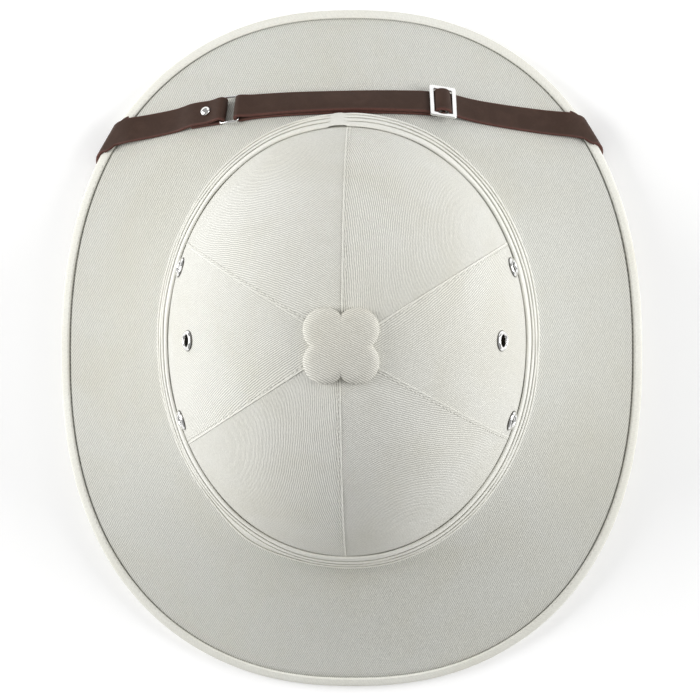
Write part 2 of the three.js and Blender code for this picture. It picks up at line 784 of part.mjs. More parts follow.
function makeRightStrap() {
  const length = rightLine.getLength();
  const slider = sliderDistance();
  const route = [
    ...OVER_LIP,
    [slider - 20, FIRST_LIFT],
    [slider - 12, FIRST_LIFT + 0.7],
    ...THROUGH_SLIDER.map(({ away, lift }) => [slider - away, lift]),
    [slider, OVER_BAR_LIFT],
    ...THROUGH_SLIDER.toReversed().map(({ away, lift }) => [slider + away, lift]),
    [slider + 9, SECOND_LIFT],
    [slider + 30, SECOND_LIFT],
    [length - 30, SECOND_LIFT],
    [length - 9, SECOND_LIFT + 0.4],
    ...foldRoute(length),
    [length - 9, FIRST_LIFT],
    [length - 40, FIRST_LIFT],
    [slider + 2, FIRST_LIFT],
  ];
  const stations = [
    ...underStations(RIGHT_WRAP, rightWrap.at(-1)).reverse(),
    ...rightWrap.toReversed(),
    ...brimStations(rightLine, route),
  ];
  return ribbon(stations, { wrap: rightWrap, edgewise: edgeDirection(RIGHT_WRAP.azimuth) });
}

// A frame on the brim for a small hard piece: X along the strap, Z out of the brim.
function sitOnBrim(mesh, place, alongPlan, lift) {
  const { point, normal, along } = brimFrame(place.x, place.y, alongPlan);
  const across = normal.clone().cross(along);
  const basis = new THREE.Matrix4().makeBasis(along, across, normal);
  mesh.applyMatrix4(basis.setPosition(point.addScaledVector(normal, lift)));
}

function makeRing() {
  const ends = [LEFT_PLAN.at(-1), RIGHT_PLAN.at(-1)];
  const place = { x: (ends[0].x + ends[1].x) / 2, y: (ends[0].y + ends[1].y) / 2 };
  const corners = [
    [1, 1],
    [-1, 1],
    [-1, -1],
    [1, -1],
  ];
  const sides = 8;
  const sections = corners.flatMap(([right, up], corner) =>
    [0, 45, 90].map((degrees) => {
      const turn = degToRad(corner * 90 + degrees);
      const outward = vector(Math.cos(turn), Math.sin(turn), 0);
      const centre = vector(
        right * (RING.halfLength - RING.corner),
        up * (RING.halfWidth - RING.corner),
        0,
      ).addScaledVector(outward, RING.corner);
      return Array.from({ length: sides }, (_, step) => {
        const around = (step * 2 * Math.PI) / sides;
        return centre
          .clone()
          .addScaledVector(outward, (RING.wire / 2) * Math.cos(around))
          .add(vector(0, 0, (RING.wire / 2) * Math.sin(around)));
      });
    }),
  );
  const mesh = addPiece("strap_ring", ringOfSections(sections), COLOURS.nickel);
  sitOnBrim(mesh, place, RING_HEADING, FOLD_LIFT);
}

// A flat frame with a bar across its middle.
function makeSlider() {
  const { length, width, side, end, bar, thickness } = SLIDER;
  const frame = new THREE.BoxGeometry(length, width, thickness);
  const windowLength = length / 2 - end - bar / 2;
  const windows = [-1, 1].map((hand) => {
    const window = new THREE.BoxGeometry(windowLength, width - 2 * side, 2 * thickness);
    return toSolid(window.translate((hand * (bar + windowLength)) / 2, 0, 0));
  });
  const mesh = addPiece("strap_slider", cutAway(frame, windows), COLOURS.nickel);
  sitOnBrim(mesh, SLIDER_PLACE, SLIDER_HEADING, SLIDER.lift);
}

// The rivet's place on the left strap, measured back from its fold.
function rivetFrame() {
  const share = 1 - RIVET.fromFold / leftLine.getLength();
  const place = leftLine.getPointAt(share);
  return brimFrame(place.x, place.y, leftLine.getTangentAt(share));
}

function makeRivet(frame) {
  const headFoot = SECOND_LIFT + STRAP.thickness / 2 + GAP + 0.35;
  const foot = STRAP.clearance;
  const profile = [
    [0, foot],
    [RIVET.shank, foot],
    [RIVET.shank, headFoot],
    [RIVET.head, headFoot],
    [RIVET.head * 0.92, headFoot + RIVET.dome * 0.45],
    [RIVET.head * 0.6, headFoot + RIVET.dome * 0.85],
    [0, headFoot + RIVET.dome],
  ].map(([radius, height]) => new THREE.Vector2(radius, height));
  const mesh = addPiece("strap_rivet", new THREE.LatheGeometry(profile, 16), COLOURS.nickel);
  mesh.applyMatrix4(standOn(frame.point, frame.normal));
}

function makeStuds() {
  const strapFace = FIRST_LIFT + STRAP.thickness / 2 + STUD_DROP;
  const profile = [
    [0, -STUD.pocket],
    [STUD.shank, -STUD.pocket],
    [STUD.shank, strapFace + GAP],
    [STUD.head, strapFace + GAP],
    [STUD.head * 0.8, strapFace + GAP + STUD.headThickness],
    [0, strapFace + GAP + STUD.headThickness],
  ].map(([radius, height]) => new THREE.Vector2(radius, height));
  earStuds.forEach(({ name, normal, wallFace }) => {
    const mesh = addPiece(name, new THREE.LatheGeometry(profile, 14), COLOURS.nickel);
    mesh.applyMatrix4(standOn(wallFace, normal));
  });
}

function makeStraps() {
  const rivet = rivetFrame();
  const studHoles = earStuds.map(({ wallFace, normal }) =>
    drill(wallFace, normal, STUD.shank + GAP, 12),
  );
  const rivetHole = drill(rivet.point, rivet.normal, RIVET.shank + GAP, 20);
  addPiece("strap_left", cutAway(makeLeftStrap(), [studHoles[0], rivetHole]), COLOURS.leather);
  addPiece("strap_right", cutAway(makeRightStrap(), [studHoles[1]]), COLOURS.leather);
  makeRivet(rivet);
}

makeShell();
makeCrownPanels();
makeBrimCover();
makeBinding();
makeBand();
makeCap();
makeEyelets();
makeStraps();
makeRing();
makeSlider();
makeStuds();

export default helmet;
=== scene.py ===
# %% [markdown]
# # A pith helmet, piece by piece
#
# A pith helmet is a light shell of pressed pith, covered with white cotton twill. Six cloth panels
# meet at a lobed cap, a pleated band goes round the foot of the crown, a bound edge goes round the
# brim, and a leather chin strap lies over the front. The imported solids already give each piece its
# place and size. This lesson makes the finished piece for each of them: smooth cloth with seams and
# stitches, folded pleats, leather with cut edges, and bright nickel.
#
# The hatter's own way of working is a good plan for the modelling too. Each cloth piece is cut flat
# as a grid, and is then laid on the helmet's surface.

import math
import random

import bmesh
import bpy
import numpy as np
from mathutils import Matrix, Vector


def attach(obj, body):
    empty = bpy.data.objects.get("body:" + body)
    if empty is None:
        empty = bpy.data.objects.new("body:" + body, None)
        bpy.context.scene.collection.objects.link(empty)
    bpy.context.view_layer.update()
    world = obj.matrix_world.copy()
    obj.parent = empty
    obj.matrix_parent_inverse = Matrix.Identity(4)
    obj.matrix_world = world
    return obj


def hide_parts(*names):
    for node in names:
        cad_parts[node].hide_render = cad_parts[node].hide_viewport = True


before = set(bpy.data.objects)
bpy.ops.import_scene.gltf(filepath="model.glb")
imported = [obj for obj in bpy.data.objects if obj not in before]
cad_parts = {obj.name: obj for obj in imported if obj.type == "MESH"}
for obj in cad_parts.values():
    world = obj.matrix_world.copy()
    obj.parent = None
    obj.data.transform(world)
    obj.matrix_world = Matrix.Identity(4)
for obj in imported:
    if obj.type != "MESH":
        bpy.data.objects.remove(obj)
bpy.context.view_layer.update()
MM = 0.001
print("packed nodes:", len(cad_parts))

# %% [markdown]
# ## The surface that the cloth lies on
#
# The crown is half an ellipsoid that is slightly squared in plan, and the brim slopes down from it
# to a wider outline with arched sides. One pair of numbers finds any place on it: an azimuth, which
# goes clockwise from the front as seen from above, and a depth, which is 0 at the top, 1 at the foot
# of the crown and 2 at the edge of the brim. All of this is in millimetres until a point is placed.

# %% The outlines of crown and brim
CROWN_HALF_WIDTH, CROWN_HALF_LENGTH, CROWN_SQUARENESS = 92.4, 110.8, 2.05
CROWN_MIDDLE_Y, CROWN_MIDDLE_Z, CROWN_RISE, FOOT_LEAN = -5.3, 39.0, 119.0, 84.0
BRIM_HALF_WIDTH, BRIM_FRONT, BRIM_REAR, BRIM_SQUARENESS = 149.7, 179.2, 172.2, 2.3
BRIM_MIDDLE_Y, BRIM_FOOT_Z, BRIM_FLARE, BRIM_SWEEP = 3.5, 47.5, 2.4, 0.2
EDGE_Z, EDGE_ARCH, ARCH_START = 3.62, 10.0, 22.0


def heading(azimuth):
    turn = np.radians(azimuth)
    return np.stack([-np.sin(turn), -np.cos(turn), np.zeros_like(turn)], axis=-1)


def outline(azimuth, half_width, front, rear, squareness):
    turn = np.radians(azimuth)
    reach = np.where(np.cos(turn) > 0, front, rear)
    total = (np.abs(np.sin(turn)) / half_width) ** squareness
    total = total + (np.abs(np.cos(turn)) / reach) ** squareness
    return total ** (-1 / squareness)


def crown_reach(azimuth):
    return outline(
        azimuth, CROWN_HALF_WIDTH, CROWN_HALF_LENGTH, CROWN_HALF_LENGTH, CROWN_SQUARENESS
    )


def brim_reaches(azimuth):
    foot = crown_reach(azimuth) * math.sin(math.radians(FOOT_LEAN)) + BRIM_FLARE
    return foot, outline(azimuth, BRIM_HALF_WIDTH, BRIM_FRONT, BRIM_REAR, BRIM_SQUARENESS)


def smooth_step(value, low, high):
    share = np.clip((value - low) / (high - low), 0, 1)
    return share * share * (3 - 2 * share)


# %% Points and normals on the surface
def crown_point(azimuth, lean):
    tilt = np.radians(lean)
    point = heading(azimuth) * (crown_reach(azimuth) * np.sin(tilt))[..., None]
    point[..., 1] += CROWN_MIDDLE_Y
    point[..., 2] += CROWN_MIDDLE_Z + CROWN_RISE * np.cos(tilt)
    return point


def brim_point(azimuth, share):
    foot, edge = brim_reaches(azimuth)
    aside = np.abs(np.sin(np.radians(azimuth)))
    low = EDGE_Z + EDGE_ARCH * smooth_step(aside, math.sin(math.radians(ARCH_START)), 1)
    point = heading(azimuth) * (foot + (edge - foot) * share)[..., None]
    point[..., 1] += CROWN_MIDDLE_Y + (BRIM_MIDDLE_Y - CROWN_MIDDLE_Y) * share
    point[..., 2] += low + (BRIM_FOOT_Z - low) * (1 - share) * (1 - BRIM_SWEEP * share)
    return point


def surface(azimuth, depth):
    on_crown = crown_point(azimuth, np.clip(depth, 0, 1) * FOOT_LEAN)
    on_brim = brim_point(azimuth, np.clip(depth - 1, 0, 1))
    return np.where((depth <= 1)[..., None], on_crown, on_brim)


def unit(vectors):
    return vectors / np.linalg.norm(vectors, axis=-1, keepdims=True)


def surface_normal(azimuth, depth, step=0.02):
    beside = np.maximum(depth, 0.004)
    around = surface(azimuth + 0.5, beside) - surface(azimuth - 0.5, beside)
    down = surface(azimuth, np.minimum(depth + step, 2))
    down = down - surface(azimuth, np.maximum(depth - step, 0))
    return unit(np.cross(around, down))


def on_helmet(azimuth, depth, out, step=0.02):
    """Points in metres, at a distance out from the cloth surface."""
    azimuth, depth = np.broadcast_arrays(np.asarray(azimuth, float), np.asarray(depth, float))
    offset = surface_normal(azimuth, depth, step) * np.asarray(out, float)[..., None]
    return (surface(azimuth, depth) + offset) * MM


print("crown:", 2 * CROWN_HALF_WIDTH, "x", 2 * CROWN_HALF_LENGTH, "mm")

# %% [markdown]
# ## From a flat grid to a piece of cloth
#
# bmesh.ops.create_grid makes a flat grid with its faces up. Each of its vertices is carried to its
# place on the helmet, and bmesh.ops.solidify gives the cloth its thickness on the inner side. The
# flat size of the cloth, in millimetres, becomes the UV map, so the weave follows the surface.


# %% Grids, rings and finished pieces
def laid_grid(across, down, place, cloth_map=None):
    """A grid whose vertices are carried by place(u, v), where u and v are shares of its sides."""
    bm = bmesh.new()
    bmesh.ops.create_grid(bm, x_segments=across, y_segments=down, size=0.5)
    flat = np.array([vertex.co[:2] for vertex in bm.verts]) + 0.5
    if cloth_map is not None:
        bm.verts.index_update()
        layer = bm.loops.layers.uv.new("cloth")
        mapped = cloth_map(flat[:, 0], flat[:, 1])
        for face in bm.faces:
            for loop in face.loops:
                loop[layer].uv = mapped[loop.vert.index]
    for vertex, point in zip(bm.verts, place(flat[:, 0], flat[:, 1]), strict=True):
        vertex.co = point
    return bm


def close_ring(bm):
    bmesh.ops.remove_doubles(bm, verts=bm.verts[:], dist=0.004 * MM)
    return bm


def face_outward(bm):
    bmesh.ops.recalc_face_normals(bm, faces=bm.faces[:])
    return bm


def give_thickness(bm, wall):
    bm.normal_update()
    bmesh.ops.solidify(bm, geom=bm.faces[:], thickness=wall * MM)
    return bm


def finish_piece(name, bm, material, stands_for=(), crease=38):
    mesh = bpy.data.meshes.new(name)
    bm.to_mesh(mesh)
    bm.free()
    mesh.shade_smooth()
    mesh.set_sharp_from_angle(angle=math.radians(crease))
    mesh.materials.append(material)
    piece = bpy.data.objects.new(name, mesh)
    bpy.context.scene.collection.objects.link(piece)
    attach(piece, "root")
    if stands_for:
        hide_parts(*stands_for)
    print(name, len(mesh.polygons), "faces")
    return piece


def one_side_area(piece):
    """Half of a thin closed piece's surface, which is the area of its cloth."""
    return sum(polygon.area for polygon in piece.data.polygons) / 2


# %% [markdown]
# ## Shader groups that several finishes share
#
# Cotton twill shows as fine slanted ribs. Each rib is a row of short floats of thread, so the height
# is a wave across the ribs, broken by a weaker wave along them. The pattern reads the cloth's own UV
# map, in millimetres, and gives out a height and a mask. Cloth on a used hat is never one colour, so
# a second group gives slow stains and thread-to-thread changes. Leather needs a pebbled grain, and
# all worn things share a group of fine scratches and specks.


# %% Helpers for node groups
def new_group(name, inputs, outputs):
    group = bpy.data.node_groups.new(name, "ShaderNodeTree")
    for label, kind, value in inputs:
        socket = group.interface.new_socket(label, in_out="INPUT", socket_type=kind)
        if value is not None:
            socket.default_value = value
    for label, kind in outputs:
        group.interface.new_socket(label, in_out="OUTPUT", socket_type=kind)
    return group, group.nodes.new("NodeGroupInput"), group.nodes.new("NodeGroupOutput")


def math_node(tree, operation, first, second=None, third=None):
    node = tree.nodes.new("ShaderNodeMath")
    node.operation = operation
    for place, value in enumerate((first, second, third)):
        if isinstance(value, bpy.types.NodeSocket):
            tree.links.new(value, node.inputs[place])
        elif value is not None:
            node.inputs[place].default_value = value
    return node.outputs[0]


def noise_node(tree, vector, scale, detail=3.0, roughness=0.5, distortion=0.0):
    node = tree.nodes.new("ShaderNodeTexNoise")
    node.inputs["Detail"].default_value = detail
    node.inputs["Roughness"].default_value = roughness
    node.inputs["Distortion"].default_value = distortion
    if isinstance(scale, bpy.types.NodeSocket):
        tree.links.new(scale, node.inputs["Scale"])
    else:
        node.inputs["Scale"].default_value = scale
    tree.links.new(vector, node.inputs["Vector"])
    return node.outputs["Fac"]


def range_node(tree, value, low, high, to_low=0.0, to_high=1.0):
    node = tree.nodes.new("ShaderNodeMapRange")
    tree.links.new(value, node.inputs["Value"])
    limits = {"From Min": low, "From Max": high, "To Min": to_low, "To Max": to_high}
    for label, limit in limits.items():
        node.inputs[label].default_value = limit
    return node.outputs["Result"]


def mix_colours(tree, share, first, second):
    node = tree.nodes.new("ShaderNodeMix")
    node.data_type = "RGBA"
    # In colour mode inputs 0, 6 and 7 of a Mix node are its factor and its two colours.
    for place, value in ((0, share), (6, first), (7, second)):
        if isinstance(value, bpy.types.NodeSocket):
            tree.links.new(value, node.inputs[place])
        else:
            node.inputs[place].default_value = value
    return node.outputs[2]


# %% The twill weave
def twill_group():
    group, given, out = new_group(
        "twill_weave",
        [
            ("Vector", "NodeSocketVector", None),
            ("Pitch", "NodeSocketFloat", 1.15),
            ("Waviness", "NodeSocketFloat", 0.35),
        ],
        [("Height", "NodeSocketFloat"), ("Furrows", "NodeSocketFloat")],
    )
    vector = given.outputs["Vector"]
    split = group.nodes.new("ShaderNodeSeparateXYZ")
    group.links.new(vector, split.inputs[0])
    drift = math_node(group, "SUBTRACT", noise_node(group, vector, 0.22, 2.0), 0.5)
    drift = math_node(group, "MULTIPLY", drift, given.outputs["Waviness"])
    ribs = math_node(group, "DIVIDE", split.outputs[0], given.outputs["Pitch"])
    ribs = math_node(group, "ADD", ribs, math_node(group, "MULTIPLY", drift, 3.0))
    turns = 2 * math.pi
    across = math_node(group, "SINE", math_node(group, "MULTIPLY", ribs, turns))
    across = math_node(group, "MULTIPLY_ADD", across, 0.5, 0.5)
    floats = math_node(group, "DIVIDE", split.outputs[1], 1.9)
    stagger = math_node(group, "MULTIPLY", math_node(group, "FLOOR", ribs), 0.37)
    floats = math_node(group, "ADD", floats, stagger)
    along = math_node(group, "SINE", math_node(group, "MULTIPLY", floats, turns))
    along = math_node(group, "MULTIPLY_ADD", along, 0.16, 0.84)
    uneven = range_node(group, noise_node(group, vector, 1.4, 2.0), 0.3, 0.7, 0.78, 1.08)
    height = math_node(group, "MULTIPLY", math_node(group, "MULTIPLY", across, along), uneven)
    group.links.new(height, out.inputs["Height"])
    # The finishes use this furrows mask to darken the furrows as painted shade.
    furrows = math_node(group, "POWER", math_node(group, "SUBTRACT", 1.0, across), 2.0)
    group.links.new(furrows, out.inputs["Furrows"])
    return group


TWILL = twill_group()


# %% Slow stains and uneven thread, for all cloth
def aged_cloth_group():
    group, given, out = new_group(
        "aged_cloth",
        [
            ("Vector", "NodeSocketVector", None),
            ("Clean", "NodeSocketColor", (0.8, 0.8, 0.77, 1)),
            ("Aged", "NodeSocketColor", (0.72, 0.7, 0.62, 1)),
            ("Amount", "NodeSocketFloat", 0.5),
        ],
        [("Color", "NodeSocketColor"), ("Fuzz", "NodeSocketFloat")],
    )
    vector = given.outputs["Vector"]
    clouds = range_node(group, noise_node(group, vector, 14.0, 4.0, 0.6, 0.4), 0.42, 0.75)
    spots = range_node(group, noise_node(group, vector, 60.0, 3.0, 0.7), 0.6, 0.8)
    stain = math_node(group, "MULTIPLY_ADD", spots, 0.3, clouds)
    stain = math_node(group, "MULTIPLY", stain, given.outputs["Amount"])
    stain = math_node(group, "MINIMUM", stain, 1.0)
    colour = mix_colours(group, stain, given.outputs["Clean"], given.outputs["Aged"])
    slubs = range_node(group, noise_node(group, vector, 900.0, 2.0, 0.6), 0.3, 0.7, 0.94, 1.03)
    shade = group.nodes.new("ShaderNodeVectorMath")
    shade.operation = "SCALE"
    group.links.new(colour, shade.inputs[0])
    group.links.new(slubs, shade.inputs["Scale"])
    group.links.new(shade.outputs[0], out.inputs["Color"])
    group.links.new(noise_node(group, vector, 2600.0, 2.0, 0.7), out.inputs["Fuzz"])
    return group


AGED_CLOTH = aged_cloth_group()


# %% Leather grain, and the fine wear of metal
def leather_group():
    group, given, out = new_group(
        "leather_grain",
        [("Vector", "NodeSocketVector", None), ("Scale", "NodeSocketFloat", 1500.0)],
        [("Height", "NodeSocketFloat"), ("Rub", "NodeSocketFloat")],
    )
    vector, scale = given.outputs["Vector"], given.outputs["Scale"]
    pebbles = group.nodes.new("ShaderNodeTexVoronoi")
    pebbles.feature = "SMOOTH_F1"
    group.links.new(vector, pebbles.inputs["Vector"])
    group.links.new(scale, pebbles.inputs["Scale"])
    pores = noise_node(group, vector, math_node(group, "MULTIPLY", scale, 2.4), 3.0, 0.65)
    height = math_node(group, "MULTIPLY_ADD", pebbles.outputs["Distance"], -0.7, 0.8)
    height = math_node(group, "MULTIPLY_ADD", pores, 0.35, height)
    group.links.new(height, out.inputs["Height"])
    rub = noise_node(group, vector, math_node(group, "MULTIPLY", scale, 0.06), 5.0, 0.7, 0.6)
    group.links.new(range_node(group, rub, 0.45, 0.72), out.inputs["Rub"])
    return group


def fine_wear_group():
    group, given, out = new_group(
        "fine_wear",
        [("Vector", "NodeSocketVector", None), ("Scale", "NodeSocketFloat", 400.0)],
        [("Scratches", "NodeSocketFloat"), ("Tarnish", "NodeSocketFloat")],
    )
    vector, scale = given.outputs["Vector"], given.outputs["Scale"]
    stretch = group.nodes.new("ShaderNodeMapping")
    stretch.inputs["Scale"].default_value = (1.0, 9.0, 3.0)
    stretch.inputs["Rotation"].default_value = (0.3, 0.2, 0.7)
    group.links.new(vector, stretch.inputs["Vector"])
    lines = noise_node(group, stretch.outputs[0], scale, 4.0, 0.7)
    group.links.new(range_node(group, lines, 0.45, 0.7), out.inputs["Scratches"])
    clouds = noise_node(group, vector, math_node(group, "MULTIPLY", scale, 0.5), 4.0, 0.6)
    group.links.new(range_node(group, clouds, 0.45, 0.75), out.inputs["Tarnish"])
    return group


LEATHER_GRAIN, FINE_WEAR = leather_group(), fine_wear_group()
print("shader groups:", [group.name for group in bpy.data.node_groups])

# %% [markdown]
# ## The finishes
#
# The crown, the brim, the band and the binding are cut from the same white twill, but they show it
# differently. The brim's twill is painted darker than the crown's, as painted shade on the sloping
# brim, and the band and the binding are pressed smooth. One function makes all of them from the
# shared groups. The ribs reach the shader twice: as bump, and as painted shade that darkens the
# furrows, which keeps them visible in flat light.


# %% A material with its shader and its coordinates
def new_material(name):
    material = bpy.data.materials.new(name)
    material.use_nodes = True
    tree = material.node_tree
    shader = tree.nodes["Principled BSDF"]
    return material, tree, shader, tree.nodes.new("ShaderNodeTexCoord").outputs["Object"]


def place_group(tree, group, **values):
    node = tree.nodes.new("ShaderNodeGroup")
    node.node_tree = group
    for label, value in values.items():
        if isinstance(value, bpy.types.NodeSocket):
            tree.links.new(value, node.inputs[label])
        else:
            node.inputs[label].default_value = value
    return node.outputs


def bump_into(tree, shader, height, strength, distance):
    bump = tree.nodes.new("ShaderNodeBump")
    bump.inputs["Strength"].default_value = strength
    bump.inputs["Distance"].default_value = distance
    tree.links.new(height, bump.inputs["Height"])
    tree.links.new(bump.outputs["Normal"], shader.inputs["Normal"])


# %% White cotton twill
TWILL_PITCH = 0.9


def cloth_material(name, clean, aged, amount, rib_depth, furrow_shade_depth):
    material, tree, shader, here = new_material(name)
    uv = tree.nodes.new("ShaderNodeUVMap")
    uv.uv_map = "cloth"
    weave = place_group(tree, TWILL, Vector=uv.outputs["UV"], Pitch=TWILL_PITCH)
    tone = place_group(tree, AGED_CLOTH, Vector=here, Clean=clean, Aged=aged, Amount=amount)
    fold = tree.nodes.new("ShaderNodeAttribute")
    fold.attribute_name = "pressed"
    pressed = fold.outputs["Fac"]
    ribbed = math_node(tree, "MULTIPLY_ADD", pressed, -0.6, 1.0)
    shade = tree.nodes.new("ShaderNodeVectorMath")
    shade.operation = "SCALE"
    tree.links.new(tone["Color"], shade.inputs[0])
    # The furrows are darkened in the base colour: painted shade.
    furrow_shade = math_node(tree, "MULTIPLY", weave["Furrows"], -furrow_shade_depth)
    furrow_shade = math_node(tree, "MULTIPLY", furrow_shade, ribbed)
    # The pressed seam folds are painted 3% lighter: a painted highlight on the seam ridges.
    light = math_node(tree, "ADD", math_node(tree, "MULTIPLY_ADD", pressed, 0.03, 1.0), furrow_shade)
    tree.links.new(light, shade.inputs["Scale"])
    tree.links.new(shade.outputs[0], shader.inputs["Base Color"])
    rough = range_node(tree, tone["Fuzz"], 0.3, 0.7, 0.82, 0.95)
    tree.links.new(rough, shader.inputs["Roughness"])
    ribs = math_node(tree, "MULTIPLY", weave["Height"], ribbed)
    raised = math_node(tree, "MULTIPLY_ADD", tone["Fuzz"], 0.2, ribs)
    bump_into(tree, shader, raised, rib_depth, 0.16 * MM)
    shader.inputs["Specular IOR Level"].default_value = 0.2
    shader.inputs["Sheen Weight"].default_value = 0.08
    shader.inputs["Sheen Roughness"].default_value = 0.6
    return material


# Each row: the clean colour, the aged colour and how much of it, the ribs' bump and the painted shade
# in their furrows.
AGED, AGED_CAP = (0.70, 0.675, 0.555, 1), (0.7, 0.66, 0.53, 1)
CLOTHS = {
    "crown_cloth": ((0.85, 0.845, 0.785, 1), AGED, 0.45, 1.0, 0.44),
    "cap_cloth": ((0.855, 0.845, 0.78, 1), AGED_CAP, 0.6, 1.0, 0.5),
    # The brim's clean colour is darker than the crown's: painted shade on the sloping brim.
    "brim_cloth": ((0.765, 0.765, 0.71, 1), AGED, 0.45, 1.0, 0.42),
    "band_cloth": ((0.825, 0.82, 0.765, 1), AGED, 0.35, 0.25, 0.05),
    "binding_cloth": ((0.84, 0.835, 0.77, 1), AGED, 0.4, 0.2, 0.04),
}
CROWN_CLOTH, CAP_CLOTH, BRIM_CLOTH, BAND_CLOTH, BINDING_CLOTH = (
    cloth_material(name, *facts) for name, facts in CLOTHS.items()
)
print("cloths:", list(CLOTHS))


# %% Sewing thread, pith, leather and nickel
def thread_material():
    material, tree, shader, here = new_material("sewing_thread")
    twist = noise_node(tree, here, 1800.0, 2.0, 0.6)
    colour = mix_colours(tree, twist, (0.68, 0.67, 0.61, 1), (0.8, 0.79, 0.74, 1))
    tree.links.new(colour, shader.inputs["Base Color"])
    tree.links.new(range_node(tree, twist, 0.3, 0.7, 0.6, 0.8), shader.inputs["Roughness"])
    bump_into(tree, shader, twist, 0.5, 0.05 * MM)
    return material


def pith_material():
    material, tree, shader, here = new_material("pressed_pith")
    fibre = noise_node(tree, here, 260.0, 5.0, 0.7, 0.8)
    cloud = noise_node(tree, here, 22.0, 3.0)
    cloud = range_node(tree, cloud, 0.3, 0.7)
    body = mix_colours(tree, cloud, (0.62, 0.57, 0.46, 1), (0.7, 0.66, 0.56, 1))
    colour = mix_colours(tree, range_node(tree, fibre, 0.55, 0.8), body, (0.5, 0.44, 0.34, 1))
    tree.links.new(colour, shader.inputs["Base Color"])
    tree.links.new(range_node(tree, fibre, 0.3, 0.7, 0.85, 0.98), shader.inputs["Roughness"])
    bump_into(tree, shader, fibre, 0.6, 0.25 * MM)
    return material


def leather_material():
    material, tree, shader, here = new_material("brown_leather")
    grain = place_group(tree, LEATHER_GRAIN, Vector=here, Scale=1500.0)
    face = mix_colours(tree, grain["Rub"], (0.05, 0.0275, 0.0195, 1), (0.066, 0.037, 0.027, 1))
    edge = tree.nodes.new("ShaderNodeAttribute")
    edge.attribute_name = "cut_edge"
    fibre = noise_node(tree, here, 900.0, 3.0, 0.7)
    raw = mix_colours(tree, fibre, (0.06, 0.024, 0.019, 1), (0.16, 0.07, 0.056, 1))
    colour = mix_colours(tree, edge.outputs["Fac"], face, raw)
    tree.links.new(colour, shader.inputs["Base Color"])
    rough = range_node(tree, grain["Height"], 0.2, 0.9, 0.7, 0.5)
    tree.links.new(rough, shader.inputs["Roughness"])
    bump_into(tree, shader, grain["Height"], 0.5, 0.09 * MM)
    shader.inputs["Specular IOR Level"].default_value = 0.18
    return material


def nickel_material():
    material, tree, shader, here = new_material("bright_nickel")
    wear = place_group(tree, FINE_WEAR, Vector=here, Scale=150.0)
    colour = mix_colours(tree, wear["Tarnish"], (0.94, 0.94, 0.93, 1), (0.84, 0.835, 0.82, 1))
    # Marked vertices inside the eyelets' holes and at their flanges' outer edges are painted near
    # black: painted shade for the dark hole and the crevice against the cloth. The mark also makes
    # them rougher.
    shade_mask = tree.nodes.new("ShaderNodeAttribute")
    shade_mask.attribute_name = "painted_shade"
    colour = mix_colours(tree, shade_mask.outputs["Fac"], colour, (0.1, 0.095, 0.08, 1))
    tree.links.new(colour, shader.inputs["Base Color"])
    rough = range_node(tree, wear["Scratches"], 0.0, 1.0, 0.06, 0.12)
    rough = math_node(tree, "MULTIPLY_ADD", shade_mask.outputs["Fac"], 0.35, rough)
    tree.links.new(rough, shader.inputs["Roughness"])
    bump_into(tree, shader, wear["Scratches"], 0.02, 0.005 * MM)
    shader.inputs["Metallic"].default_value = 1.0
    return material


THREAD, PITH = thread_material(), pith_material()
LEATHER, NICKEL = leather_material(), nickel_material()
print("finishes:", [material.name for material in bpy.data.materials])

# %% [markdown]
# ## The pith shell
#
# The shell is one wall that goes down the outside of crown and brim and comes back up the inside, so
# a single grid can follow both faces and meet itself at the top. It thins towards the brim's edge.
# Merging the doubled vertices closes the ring and the two poles. The eyelets need real holes in it,
# because they are open. A Boolean with six drills cuts them cleanest, and its result is applied.

# %% Where the eyelets are
EYELET_PLACES = {
    "right_front": (65.7, 68.5),
    "right_middle": (89.0, 54.0),
    "right_rear": (115.3, 68.5),
    "left_rear": (244.7, 68.5),
    "left_middle": (271.0, 54.0),
    "left_front": (294.3, 68.5),
}


def upright(point, normal, along):
    """A matrix that stands a piece made at the origin on a point: Z to the normal, X along."""
    normal, along = Vector(normal).normalized(), Vector(along)
    along = (along - normal * along.dot(normal)).normalized()
    turned = Matrix((along, normal.cross(along), normal)).transposed().to_4x4()
    return Matrix.Translation(Vector(point)) @ turned


def eyelet_matrix(azimuth, lean):
    depth = np.array(lean / FOOT_LEAN)
    azimuth = np.array(azimuth)
    point = on_helmet(azimuth, depth, 0.0)
    ahead = on_helmet(azimuth, depth + 0.05, 0.0) - point
    return upright(point, surface_normal(azimuth, depth), ahead)


DRILL_RADIUS, DRILL_LENGTH = 3.45 * MM, 24 * MM


def eyelet_drills():
    bm = bmesh.new()
    for place in EYELET_PLACES.values():
        bmesh.ops.create_cone(
            bm,
            cap_ends=True,
            segments=32,
            radius1=DRILL_RADIUS,
            radius2=DRILL_RADIUS,
            depth=DRILL_LENGTH,
            matrix=eyelet_matrix(*place),
        )
    mesh = bpy.data.meshes.new("drills")
    bm.to_mesh(mesh)
    bm.free()
    drills = bpy.data.objects.new("drills", mesh)
    bpy.context.scene.collection.objects.link(drills)
    return drills


DRILLS = eyelet_drills()


def cut_holes(piece):
    cutter = piece.modifiers.new("holes", "BOOLEAN")
    cutter.operation, cutter.solver, cutter.object = "DIFFERENCE", "EXACT", DRILLS
    view = bpy.context.evaluated_depsgraph_get()
    cut = bpy.data.meshes.new_from_object(piece.evaluated_get(view))
    piece.modifiers.clear()
    piece.data = cut
    print(piece.name, "after drilling:", len(cut.polygons), "faces")


# %% The shell
SHELL_OUT, SHELL_IN, SHELL_EDGE_IN = -1.3, -4.5, -3.5
THINNING_START, THINNING_SPAN = 1.47, 0.53


def inner_distance(depth):
    """How far the shell's inner face lies from the cloth surface, in millimetres."""
    thinning = np.clip((depth - THINNING_START) / THINNING_SPAN, 0, 1)
    return SHELL_IN + (SHELL_EDGE_IN - SHELL_IN) * thinning


